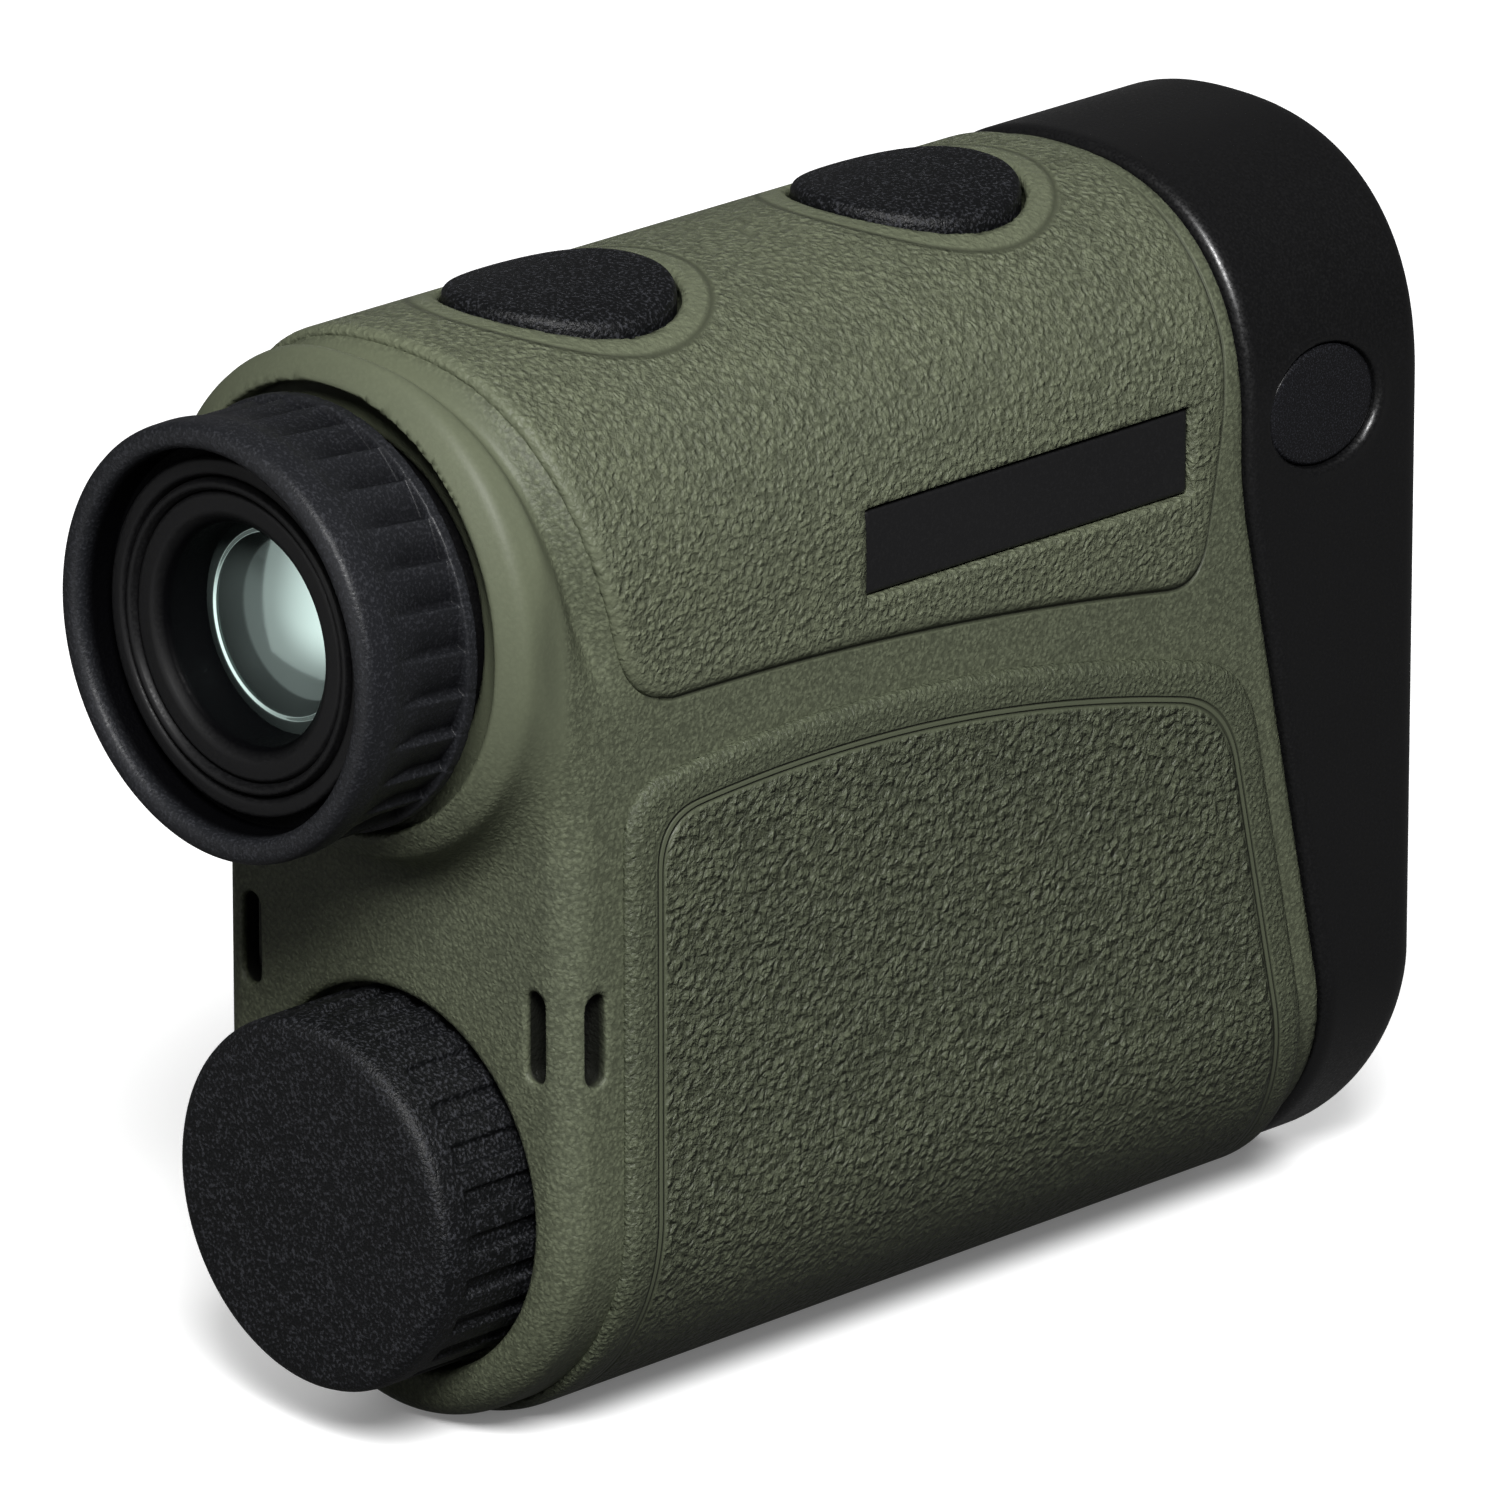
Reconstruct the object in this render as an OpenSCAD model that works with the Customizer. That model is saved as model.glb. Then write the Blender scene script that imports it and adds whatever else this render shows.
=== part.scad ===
// Handheld laser rangefinder: an upright monocular with the eyepiece above
// and the battery below, in a moulded housing with a black front bezel.
// +Y is the way it looks, +X its right side, +Z up. Millimetres.
// Lengths along the body are measured from the rear of the eyecup.

/* [Overall] */
// Length from the eyecup to the front rim
overall_l = 97; // [94:0.5:118]
// Height of the eyepiece axis above the battery axis
axis_gap = 41.3; // [39:0.1:50]
// Radius of the moulded band, half the width of the bare housing
band_r = 17; // [16.4:0.1:20.4]
// Width of the flat the body stands on
foot_w = 8; // [5:0.5:8.5]

/* [Housing] */
// Wall thickness of the housing and the bezel
wall = 1.6; // [1.3:0.1:2]
// Thickness of the wall behind the lower rear face
rear_wall_t = 4.6; // [4.2:0.1:6]
// Distance from the eyecup to the lower rear face
rear_face_y = 15.8; // [14:0.1:20]
// Width of the chamfer round the rear rim
rim_chamfer = 1.5; // [0.8:0.1:1.8]
// Step by which the collar stands proud of the band
collar_step = 0.4; // [0.2:0.1:0.8]
// Length of the collar behind the lower rear face
collar_l = 5.4; // [4:0.1:6.5]
// Radial width of the collar's sloping face
collar_slope = 2.2; // [1:0.1:2.4]
// Radius of the soft fillet under the collar
collar_fillet = 3; // [1:0.1:3.5]
// Running gap round parts that turn or slide
run_gap = 0.08; // [0.05:0.01:0.1]
// Gap between fixed parts that seat on each other
seat_gap = 0.05; // [0.03:0.01:0.1]

/* [Armour] */
// Thickness of the upper armour skin
armour_t = 0.5; // [0.4:0.05:0.8]
// Thickness of the lower grip
grip_t = 0.7; // [0.65:0.05:0.9]
// Width of the border round the grip's coarse field
grip_border = 2.8; // [2:0.1:4]
// Distance from each button to the far side of the ring pressed round it
ring_gap = 2.45; // [1.6:0.05:2.8]
// Width of the line pressed into the grip and round the buttons
line_w = 0.35; // [0.2:0.05:0.6]

/* [Strap passages] */
// Width of each strap slot
slot_w = 1.9; // [1.5:0.1:2.2]
// Height of each strap slot
slot_h = 6.5; // [5:0.1:8]
// Height of the slots' centre above the battery axis
slot_rise = 13.5; // [13:0.1:16]
// Thickness of the corner bar between the two slots
strap_bar = 1.6; // [1.4:0.1:1.8]

/* [Bezel and front] */
// Edge radius of the bezel's front rim
bezel_round = 1.8; // [1:0.1:2.4]
// Step by which the bezel stands proud of the band
bezel_step = 0.4; // [0.2:0.05:0.6]
// Distance from the front rim back to the shut line at the side
bezel_l = 17.4; // [14:0.1:20]
// Radius of the curve in the shut line
shut_curve_r = 30; // [24:1:40]
// Lean of the straight lower shut line
shut_lean = 12.1; // [6:0.1:14]
// Depth of the front plate behind the rim
front_recess = 1.5; // [1:0.1:2.5]
// Thickness of the front plate
plate_t = 2; // [1.6:0.1:3]
// Length of the side plate
side_plate_l = 30.8; // [20:0.1:34]
// Height of the side plate
side_plate_h = 5.9; // [4:0.1:7]
// Length of the oval badge disc
badge_l = 10.3; // [8:0.1:11]
// Height of the oval badge disc
badge_h = 8.4; // [6:0.1:9]

/* [Eyepiece] */
// Radius of the eyecup at its lip
eyecup_r = 14.9; // [13.5:0.1:15]
// Length of the eyecup
eyecup_l = 9.9; // [9:0.1:11]
// Number of flutes round the eyecup
eyecup_flutes = 30; // [20:1:36]
// Outer radius of the threaded barrel
barrel_r = 12; // [11.6:0.1:12.2]
// Length of the barrel
barrel_l = 22; // [20:0.5:24]
// Outer radius of the sliding lens cell
cell_r = 10.7; // [10.2:0.05:10.8]
// Radius of the eye lens
eye_lens_r = 8; // [7.4:0.1:8.4]
// Focusing travel each way from the middle
focus_travel = 1.5; // [1:0.1:1.8]

/* [Objective and laser] */
// Radius of the objective lens
objective_r = 10; // [8.4:0.1:10.2]
// Radius of the laser lens
laser_lens_r = 8; // [6.7:0.1:9.6]
// Wall thickness of the optical tubes
tube_t = 0.9; // [0.7:0.05:1.1]

/* [Battery] */
// Radius of the battery cell
battery_r = 7.8; // [6.5:0.1:9]
// Length of the battery cell
battery_l = 27; // [24:0.5:32]
// Radius of the battery cap
cap_r = 12.9; // [12:0.1:13.4]
// Length the cap stands out from the lower rear face
cap_out = 7.7; // [6:0.1:9.3]
// Depth of the recess the cap turns in
cap_recess = 2.6; // [2:0.1:3]
// Number of flutes round the cap
cap_flutes = 26; // [18:1:32]

/* [Buttons] */
// Radius of each round button
button_r = 7.8; // [6.5:0.1:8]
// Height of the buttons above the armour
button_proud = 0.6; // [0.4:0.1:1]
// Distance from the eyecup to the rear button's centre
menu_y = 31.5; // [30:0.5:36]
// Distance between the two buttons
button_pitch = 32.5; // [24:0.5:34]
// Travel of each button
button_travel = 0.5; // [0.3:0.05:0.6]

/* [Hidden] */
$fn = 96;
armour_r = band_r + armour_t;
grip_r = band_r + grip_t;
bezel_r = band_r + bezel_step;
collar_r = band_r + collar_step;
inner_r = band_r - wall;
cap_z = sqrt(grip_r * grip_r - foot_w * foot_w / 4);
eye_z = cap_z + axis_gap;
mid_z = (cap_z + eye_z) / 2;
far = 200;
cut = 0.01;

// rear of the body
rear_wall_y = rear_face_y + rear_wall_t;
collar_y = rear_face_y - collar_l;
mouth_r = eyecup_r + 0.3;
mouth_floor_y = eyecup_l + focus_travel + 1.2;
band_start_y = rear_face_y + 1.6;

// shut line between the housing and the bezel, seen from the side
shut_y = overall_l - bezel_l;
shut_z = eye_z - 0.7;
shut_gap = 0.15;
mid_y = (rear_face_y + shut_y) / 2;
bead_w = 0.6;
bead_r = band_r + 0.1;
tongue_back = 3.9;
tongue_t = 1;
tongue_l = 2.4;

// front
plate_y = overall_l - front_recess;
frame_r = bezel_r - 2.6;
rim_back_y = plate_y - plate_t;
plate_screw_x = frame_r - 3.4;
ledge_t = 1.2;
ledge_y = rim_back_y - ledge_t;

// eyepiece, front to back along the optical axis
barrel_y = 2.1;
sleeve_end_y = barrel_y + barrel_l + focus_travel + 0.3;
flange_t = 1.1;
flange_r = 12.1;
sleeve_bore = eyecup_r - 3.5;
cell_y = 2.2;
cell_l = 19;
cell_bore = 9.85;
eye_lens_y = 7;
eye_lens_t = 3.2;
spacer_l = 2.4;
field_lens_r = 7.6;
field_lens_t = 3.6;

// objective channel
tube_r = objective_r + tube_t;
lens_seat_y = plate_y - 6;
objective_t = 3.4;
prism_y = rear_wall_y + 10.2;
prism_l = 21;
prism_half = 10.3;
prism_wall = 1.2;
prism_floor = -prism_half + prism_wall + 0.1;
prism_len = prism_l - 2 * prism_wall;
prism_x = prism_half - prism_wall - 1.1;
prism_low = -6.2;
prism_high = 7.9;
prism_slope = 9.1;
prism_gap = 0.6;

// laser channel
laser_r = laser_lens_r + tube_t;
laser_t = 2.6;
laser_seat_y = plate_y - plate_t - 1;
laser_back_y = laser_seat_y - 24;

// battery bay
battery_tube_r = battery_r + 0.3 + 1.1;
battery_y = rear_wall_y + 1.2;
spring_l = 4;
contact_t = 0.6;
tube_floor_t = 1.4;
battery_front_y = battery_y + battery_l;
contact_y = battery_front_y + spring_l;
cap_face_y = rear_face_y - cap_out;
cap_base_y = rear_face_y + cap_recess - 0.4;
spigot_r = battery_tube_r;
spigot_t = 1.3;
spigot_end_y = rear_wall_y + 0.6;
seal_cap_y = rear_face_y + cap_recess - 0.2;
neck_r = spigot_r + run_gap;
tube_start_y = spigot_end_y + 0.2;

// boards
board_t = 1;
board_z = mid_z - 1;
board_half = inner_r - 0.8;
board_y = rear_wall_y + 1.5;
board_l = shut_y - 4 - board_y;

// buttons
well_r = button_r + 0.3;
well_z = eye_z + 14.6;
well_floor_t = 1;
stem_r = 2;
switch_top = well_z - well_floor_t - 0.9;
switch_h = 1;
switch_board_t = 0.6;
plunger_r = 0.9;
plunger_gap = 0.05;
stem_low = well_z - well_floor_t - 0.4;

// ---------- shared shapes ----------

// Lays the body out about its own middle
module placed() translate([0, -overall_l / 2, 0]) children();

// Turns a profile of [radius, distance along Y] about an axis at height z
module turned(z) translate([0, 0, z]) rotate([-90, 0, 0]) rotate_extrude() children();

// Rod along Y from y0, of length l
module rod(z, r, y0, l) translate([0, y0, z]) rotate([-90, 0, 0]) cylinder(r = r, h = l);

// Ring along Y
module ring(z, r_out, r_in, y0, l) difference() {
    rod(z, r_out, y0, l);
    rod(z, r_in, y0 - 1, l + 2);
}

// Sweeps a profile of [radius, distance along Y] round the upright stadium outline
module stadium_sweep() {
    translate([0, 0, eye_z]) rotate([-90, 0, 0]) rotate([0, 0, 180])
        rotate_extrude(angle = 180) children();
    translate([0, 0, cap_z]) rotate([-90, 0, 0]) rotate_extrude(angle = 180) children();
    translate([0, 0, cap_z]) linear_extrude(axis_gap) {
        children();
        mirror([1, 0]) children();
    }
}

// Stadium plug from y0 to y1
module stadium(r, y0, y1) stadium_sweep() translate([0, y0]) square([r, y1 - y0]);

// Stadium shell
module stadium_shell(r_out, r_in, y0, y1) stadium_sweep()
    translate([r_in, y0]) square([r_out - r_in, y1 - y0]);

// Extrudes an outline drawn in [y, z] through the whole width
module across(x0 = -far / 2, x1 = far / 2) translate([x0, 0, 0])
    multmatrix([[0, 0, 1, 0], [1, 0, 0, 0], [0, 1, 0, 0], [0, 0, 0, 1]])
        linear_extrude(x1 - x0) children();

// Space above the standing plane
module above_floor() translate([-far / 2, -far / 2, 0]) cube([far, 2 * far, far]);

// Corner arc of an outline: p with its neighbours a and b, and its radius
function unit(v) = v / norm(v);
function corner(a, p, b, r, n = 6) = let(
    u = unit(a - p), v = unit(b - p),
    half = acos(max(-1, min(1, u * v))) / 2,
    d = r / tan(half),
    c = p + unit(u + v) * (r / sin(half)),
    s = p + u * d - c, e = p + v * d - c,
    turn = atan2(s.x * e.y - s.y * e.x, s * e)
) [for (i = [0:n]) let(t = turn * i / n) c + [s.x * cos(t) - s.y * sin(t), s.x * sin(t) + s.y * cos(t)]];
// Outline through [y, z, radius] points with each corner rounded
function rounded(p) = let(m = len(p)) [for (i = [0:m - 1]) let(
    a = p[(i + m - 1) % m], q = p[i], b = p[(i + 1) % m]
) each (q[2] > 0 ? corner([a.x, a.y], [q.x, q.y], [b.x, b.y], q[2]) : [[q.x, q.y]])];

// Place along the body of the shut line's straight lower part at height z
function shut_line_y(z) = shut_y + shut_curve_r * (1 - 1 / cos(shut_lean)) + (shut_z - z) * tan(shut_lean);

// Region in front of the shut line, grown backwards by off
module front_region(off = 0) {
    c = [shut_y + shut_curve_r, shut_z];
    r = shut_curve_r + off;
    tangent = c + r * [-cos(shut_lean), -sin(shut_lean)];
    low = tangent + far * [sin(shut_lean), -cos(shut_lean)];
    translate(c) circle(r = r, $fn = 180);
    polygon([tangent, low, [low.x + far, low.y], [far + c.x, c.y + far], [c.x, c.y + far], c]);
    translate([c.x, c.y]) square([far, far]);
}

// Outline of the upper armour in [y, z]
module upper_outline() polygon(rounded([
    [rear_face_y - 0.3, eye_z + far, 0], [rear_face_y + 0.1, eye_z + 17, 0],
    [rear_face_y + 2.3, eye_z + 6, 20], [rear_face_y + 6, eye_z - 6, 3.4],
    [mid_y, eye_z - 6.9, 90], [shut_y - 4.6, eye_z - 10.2, 2.8],
    [shut_y - 1.7, eye_z + 6, 25], [shut_y + 0.4, eye_z + 17, 0],
    [shut_y + 0.4, eye_z + far, 0]
]));

// Outline of the grip in [y, z], with its edge brought in by inset
module grip_outline(inset = 0) {
    y0 = rear_face_y + 4.7 + inset;
    top = eye_z - 9.8 - inset;
    edge = 2.3 + inset;
    polygon(rounded([
        [y0, -far, 0], [y0, top - 0.6, 3.2], [mid_y - 6, top + 0.3, 80],
        [shut_line_y(top - 6.6) - edge, top - 6.6, 3.6], [shut_line_y(-far) - edge, -far, 0]
    ]));
}

// ---------- housing ----------

// Rear rim, band and collar as one swept solid
module housing_outer() {
    stadium_sweep() polygon([
        [0, rear_face_y], [band_r - rim_chamfer, rear_face_y],
        [band_r, band_start_y], [band_r, overall_l], [0, overall_l]
    ]);
    collar();
}

// Collar round the eyepiece, with a soft fillet down to the rear face
module collar() {
    y_edge = collar_y + collar_slope * 0.68;
    flare_y = rear_face_y - collar_fillet;
    ease_y = rear_face_y - 0.4;
    intersection() {
        turned(eye_z) difference() {
            polygon([
                [0, collar_y], [collar_r - collar_slope, collar_y], [collar_r, y_edge],
                [collar_r, flare_y], [collar_r + collar_fillet, flare_y],
                [collar_r + collar_fillet, rear_face_y + 1], [0, rear_face_y + 1]
            ]);
            translate([collar_r + collar_fillet, flare_y]) circle(r = collar_fillet);
        }
        // the collar eases down to the band just behind the armour
        stadium_sweep() polygon([
            [0, 0], [collar_r, 0], [collar_r, ease_y - 2 * collar_step],
            [band_r, ease_y], [band_r, overall_l], [0, overall_l]
        ]);
    }
    intersection() {
        rod(eye_z, band_r, ease_y - 1, 4);
        translate([-far / 2, 0, eye_z]) cube([far, far, far]);
    }
}

// Hollow inside of the housing
module housing_hollow() {
    stadium(inner_r, rear_wall_y, overall_l + 1);
}

// L-shaped passage for the strap on one side (side is 1 or -1)
module strap_passage(side) {
    bar_x = band_r - strap_bar - 0.9;
    z0 = cap_z + slot_rise - slot_h / 2;
    translate([side * (bar_x - slot_w / 2), 0, z0 + slot_h / 2]) rotate([-90, 0, 0])
        slot_prism(rear_face_y - 1, band_start_y + slot_w);
    translate([side * (bar_x - slot_w), band_start_y + slot_w / 2, z0 + slot_h / 2])
        rotate([0, side * 90, 0]) linear_extrude(far / 2) {
            square([slot_h - slot_w, slot_w], center = true);
            for (s = [-1, 1]) translate([s * (slot_h - slot_w) / 2, 0]) circle(d = slot_w);
        }
}

// Upright slot with round ends, cut along Y
module slot_prism(y0, y1) translate([0, 0, y0]) linear_extrude(y1 - y0) {
    square([slot_w, slot_h - slot_w], center = true);
    for (s = [-1, 1]) translate([0, s * (slot_h - slot_w) / 2]) circle(d = slot_w);
}

// Round well for one button
module button_well(y) {
    translate([0, y, well_z]) cylinder(r = well_r, h = far);
    translate([0, y, well_z - well_floor_t - 1]) cylinder(r = stem_r + 0.3, h = far);
    translate([0, y, well_z - well_floor_t / 2]) cylinder(r = stem_r + 1.1, h = far);
}

module housing() color("#5c6348") placed() difference() {
    union() {
        difference() {
            intersection() {
                housing_outer();
                above_floor();
            }
            housing_hollow();
            across() front_region(shut_gap);
        }
        // tongue that the bezel slides over
        intersection() {
            stadium_shell(inner_r + cut, inner_r - tongue_t, rear_wall_y, overall_l);
            across() difference() {
                front_region(shut_gap + tongue_back);
                front_region(shut_gap - tongue_l);
                translate([ledge_y - 0.3, -far]) square([far, 3 * far]);
            }
        }
        // sleeve that carries the eyepiece barrel
        ring(eye_z, barrel_r + 1.6, barrel_r + run_gap, rear_wall_y - 0.5, sleeve_end_y - rear_wall_y + 0.5);
        // collar that carries the battery tube
        ring(cap_z, battery_tube_r + 1.5, battery_tube_r + seat_gap, rear_wall_y - 0.5, 3.5);
        // floors of the button wells
        intersection() {
            for (y = [menu_y, menu_y + button_pitch])
                translate([0, y, well_z - well_floor_t]) cylinder(r = well_r + 1, h = 3);
            rod(eye_z, band_r - 0.2, 0, overall_l);
        }
        // ledges under the main board
        for (s = [-1, 1], y = [board_y + 4, board_y + board_l - 4])
            translate([s * (inner_r - 1.4) - 1.7, y - 2, board_z - 2.2]) cube([3.4, 4, 2.15]);
    }
    // eyepiece mouth and sleeve bore
    rod(eye_z, mouth_r, 0, mouth_floor_y);
    rod(eye_z, barrel_r + run_gap, 0, sleeve_end_y + 1);
    // recess and bore for the battery cap
    rod(cap_z, cap_r + 0.45, 0, rear_face_y + cap_recess);
    rod(cap_z, neck_r, 0, rear_wall_y + 4);
    strap_passage(1);
    strap_passage(-1);
    for (y = [menu_y, menu_y + button_pitch]) button_well(y);
    // seat of the side plate
    side_plate_block(0.1, band_r - 0.75, far);
    // screw holes in the ledges
    for (s = [-1, 1], y = [board_y + 4, board_y + board_l - 4])
        translate([s * (inner_r - 2.2), y, board_z - 3]) cylinder(r = 0.62, h = 4, $fn = 24);
}

// ---------- armour, grip and side plate ----------

module upper_armour() color("#6a7153") placed() difference() {
    intersection() {
        stadium_shell(armour_r, band_r + seat_gap, rear_face_y + 0.2, shut_y + 6);
        across() difference() {
            upper_outline();
            front_region(2.3);
        }
    }
    for (y = [menu_y, menu_y + button_pitch]) {
        translate([0, y, eye_z]) cylinder(r = well_r, h = far);
        intersection() {
            translate([0, y, eye_z]) difference() {
                cylinder(r = button_r + ring_gap, h = far);
                cylinder(r = button_r + ring_gap - line_w, h = far);
            }
            stadium_shell(armour_r + 1, armour_r - line_w / 2, 0, overall_l);
        }
    }
    side_plate_block(0.1, 0, far);
}

module grip_wrap() color("#565d43") placed() intersection() {
    difference() {
        stadium_shell(grip_r, band_r + seat_gap, rear_face_y + 2, overall_l - 4);
        intersection() {
            stadium_shell(grip_r + 1, grip_r - line_w / 2, 0, overall_l);
            across() difference() {
                grip_outline(grip_border - line_w);
                grip_outline(grip_border);
            }
        }
    }
    across() grip_outline();
    above_floor();
}

// Block of the side plate grown by g, from x0 to x1
module side_plate_block(g, x0, x1) translate([x0, shut_y - 36.6 - g, eye_z - side_plate_h / 2 + 0.2 - g])
    cube([x1 - x0, side_plate_l + 2 * g, side_plate_h + 2 * g]);

module side_plate() color("#1b1c1e") placed()
    side_plate_block(0, band_r - 0.7, band_r + 0.1);

// ---------- bezel and front ----------

module bezel_profile() difference() {
    union() {
        square([bezel_r, overall_l - bezel_round]);
        square([bezel_r - bezel_round, overall_l]);
        translate([bezel_r - bezel_round, overall_l - bezel_round]) circle(r = bezel_round);
    }
    translate([-1, -1]) square([inner_r + seat_gap + 1, ledge_y + 1]);
    translate([-1, -1]) square([frame_r + 1, overall_l + 2]);
}

module front_bezel() color("#17181a") placed() difference() {
    union() {
        intersection() {
            stadium_sweep() bezel_profile();
            across() front_region(0);
            above_floor();
        }
        // raised rim round the badge
        intersection() {
            badge_oval(0.9, band_r - 0.6, bezel_r + 0.15);
            stadium(bezel_r + 0.15, shut_y, overall_l - 2);
        }
        // ledge behind the front plate
        difference() {
            stadium(frame_r + 0.6, ledge_y, rim_back_y - seat_gap);
            stadium(frame_r - 1.3, ledge_y - 1, rim_back_y + 1);
        }
    }
    badge_oval(0.1, band_r - 0.55, far);
    // lower bead along the shut line
    intersection() {
        stadium_shell(bezel_r + 1, bead_r, 0, overall_l + 1);
        across() difference() {
            front_region(1);
            front_region(-bead_w);
        }
    }
}

// Oval block of the badge grown by g, from x0 to x1
module badge_oval(g, x0, x1) across(x0, x1) translate([shut_y + 7.4, eye_z + 0.4])
    polygon([for (a = [0:7.5:352.5]) [(badge_l / 2 + g) * cos(a), (badge_h / 2 + g) * sin(a)]]);

module badge_disc() color("#1f2022") placed() badge_oval(0, band_r - 0.5, bezel_r - 0.25);

module front_plate() color("#141516") placed() difference() {
    stadium(frame_r - seat_gap, rim_back_y, plate_y);
    turned(eye_z) polygon([
        [0, rim_back_y - 1], [objective_r + 0.2, rim_back_y - 1],
        [objective_r + 0.2, plate_y - 1.2], [objective_r + 1.4, plate_y + cut], [0, plate_y + cut]
    ]);
    turned(cap_z) polygon([
        [0, rim_back_y - 1], [laser_lens_r + 0.3, rim_back_y - 1],
        [laser_lens_r + 0.3, plate_y - 0.9], [laser_lens_r + 1.2, plate_y + cut], [0, plate_y + cut]
    ]);
    for (s = [-1, 1]) translate([s * plate_screw_x, 0, 0]) rod(mid_z, 0.9, rim_back_y - 1, far);
    for (s = [-1, 1]) translate([s * plate_screw_x, 0, 0]) rod(mid_z, 1.75, plate_y - 1, far);
}

module plate_screws() color("#2a2b2d") placed() for (s = [-1, 1]) translate([s * plate_screw_x, 0, 0])
    difference() {
        union() {
            rod(mid_z, 1.6, plate_y - 0.95, 0.85);
            rod(mid_z, 0.8, rim_back_y - 3, plate_t + 2.2);
        }
        rod(mid_z, 0.7, plate_y - 0.5, 2);
    }

// ---------- upper optical channel ----------

// Lens between two spherical faces; back and front are the faces' radii
module lens(z, r, y0, t, back, front) turned(z) intersection() {
    translate([0, y0 - 3]) square([r, t + 6]);
    union() {
        translate([0, y0]) square([r, t]);
        intersection() {
            translate([0, y0 + sqrt(back * back - r * r)]) circle(r = back, $fn = 180);
            translate([0, y0 - 3]) square([r, 3]);
        }
        intersection() {
            translate([0, y0 + t - sqrt(front * front - r * r)]) circle(r = front, $fn = 180);
            translate([0, y0 + t]) square([r, 3]);
        }
    }
}

module objective_lens() color("#3b6a64") placed()
    lens(eye_z, objective_r, lens_seat_y - objective_t, objective_t, 120, 42);

module objective_ring() color("#17181a") placed() turned(eye_z) polygon([
    [objective_r - 1.1, lens_seat_y + 0.3], [objective_r, lens_seat_y + 0.1],
    [objective_r, lens_seat_y + 1.8], [objective_r - 0.4, lens_seat_y + 1.8]
]);

module objective_tube() color("#242527") placed() {
    seat_y = lens_seat_y - objective_t - 0.2;
    turned(eye_z) polygon([
        [tube_r, prism_y + prism_l + 0.1], [tube_r, rim_back_y - 0.1],
        [objective_r + run_gap, rim_back_y - 0.1], [objective_r + run_gap, seat_y],
        [objective_r - 0.8, seat_y], [objective_r - 0.8, seat_y - 1],
        [tube_r - tube_t, seat_y - 2.4], [tube_r - tube_t, prism_y + prism_l + 0.1]
    ]);
}

module prism_housing() color("#303134") placed() difference() {
    translate([-prism_half, prism_y, eye_z - prism_half]) cube([2 * prism_half, prism_l, 2 * prism_half]);
    translate([-prism_half + prism_wall, prism_y + prism_wall, eye_z - prism_half + prism_wall])
        cube([2 * prism_half, prism_l - 2 * prism_wall, 2 * prism_half - 2 * prism_wall]);
    rod(eye_z, 6, prism_y - 1, 4);
    rod(eye_z, 8.2, prism_y + prism_l - 3, 5);
    translate([0, prism_y + 12, eye_z - prism_half - 1]) cylinder(r = 2.6, h = 3);
}

// Prism block: an outline in [y, z] run across the light path
module prism_block(points, half_x) across(-half_x, half_x) translate([prism_y + prism_wall, eye_z])
    polygon(points);

// Rear prism of the erecting pair, with its sloping face turned to the front one
module roof_prism() color("#a9c4c4") placed() prism_block([
    [0.2, prism_low], [0.2, prism_high], [prism_high + prism_slope - prism_gap - 1.6, prism_high],
    [prism_high + prism_slope - prism_gap - 1.3, prism_high - 1.3],
    [prism_low + prism_slope - prism_gap, prism_low]
], prism_x);

// Front prism of the pair
module half_penta_prism() color("#b5cccb") placed() prism_block([
    [prism_len - 0.2, prism_floor], [prism_len - 0.2, prism_low + 12.7],
    [prism_low + 12.7 + prism_slope, prism_low + 12.7],
    [prism_low + prism_slope, prism_low], [prism_low + prism_slope + 6, prism_floor]
], prism_x);

module prism_clip() color("#9a9c9e") placed() difference() {
    translate([prism_x + 0.1, prism_y + prism_wall + 0.1, eye_z - prism_half + prism_wall + 0.1])
        cube([0.5, prism_len - 0.2, 2 * (prism_half - prism_wall) - 0.2]);
    for (y = [5.5, 13.5]) translate([0, prism_y + prism_wall + y, eye_z]) rotate([0, 90, 0]) cylinder(r = 2.4, h = far);
}

module display_panel() color("#35424a") placed() difference() {
    translate([-7.5, prism_y - 2.1, eye_z - 7.5]) cube([15, 2, 15]);
    rod(eye_z, 5.2, prism_y - 3, 4);
}

// ---------- laser channel ----------

module laser_lens() color("#6a3f52") placed()
    lens(cap_z, laser_lens_r, laser_seat_y - laser_t, laser_t, 200, 30);

module laser_ring() color("#17181a") placed() turned(cap_z) polygon([
    [laser_lens_r - 0.9, laser_seat_y + 0.3], [laser_lens_r, laser_seat_y + 0.1],
    [laser_lens_r, laser_seat_y + 1.2], [laser_lens_r - 0.4, laser_seat_y + 1.2]
]);

module laser_tube() color("#242527") placed() {
    seat_y = laser_seat_y - laser_t - 0.05;
    turned(cap_z) polygon([
        [3.1, laser_back_y], [laser_r, laser_back_y], [laser_r, rim_back_y - 0.1],
        [laser_lens_r + run_gap, rim_back_y - 0.1], [laser_lens_r + run_gap, seat_y],
        [laser_lens_r - 0.8, seat_y], [laser_lens_r - 0.8, seat_y - 1],
        [laser_r - tube_t, seat_y - 2.2], [laser_r - tube_t, laser_back_y + 1.6], [3.1, laser_back_y + 1.6]
    ]);
}

module laser_diode() color("#b8a368") placed() {
    rod(cap_z, 2.8, laser_back_y - 1.4, 1.35);
    rod(cap_z, 2.3, laser_back_y - 0.1, 2.8);
    for (x = [-1.2, 0, 1.2]) translate([x, 0, 0]) rod(cap_z, 0.25, laser_back_y - 3.4, 2.1);
}

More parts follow.
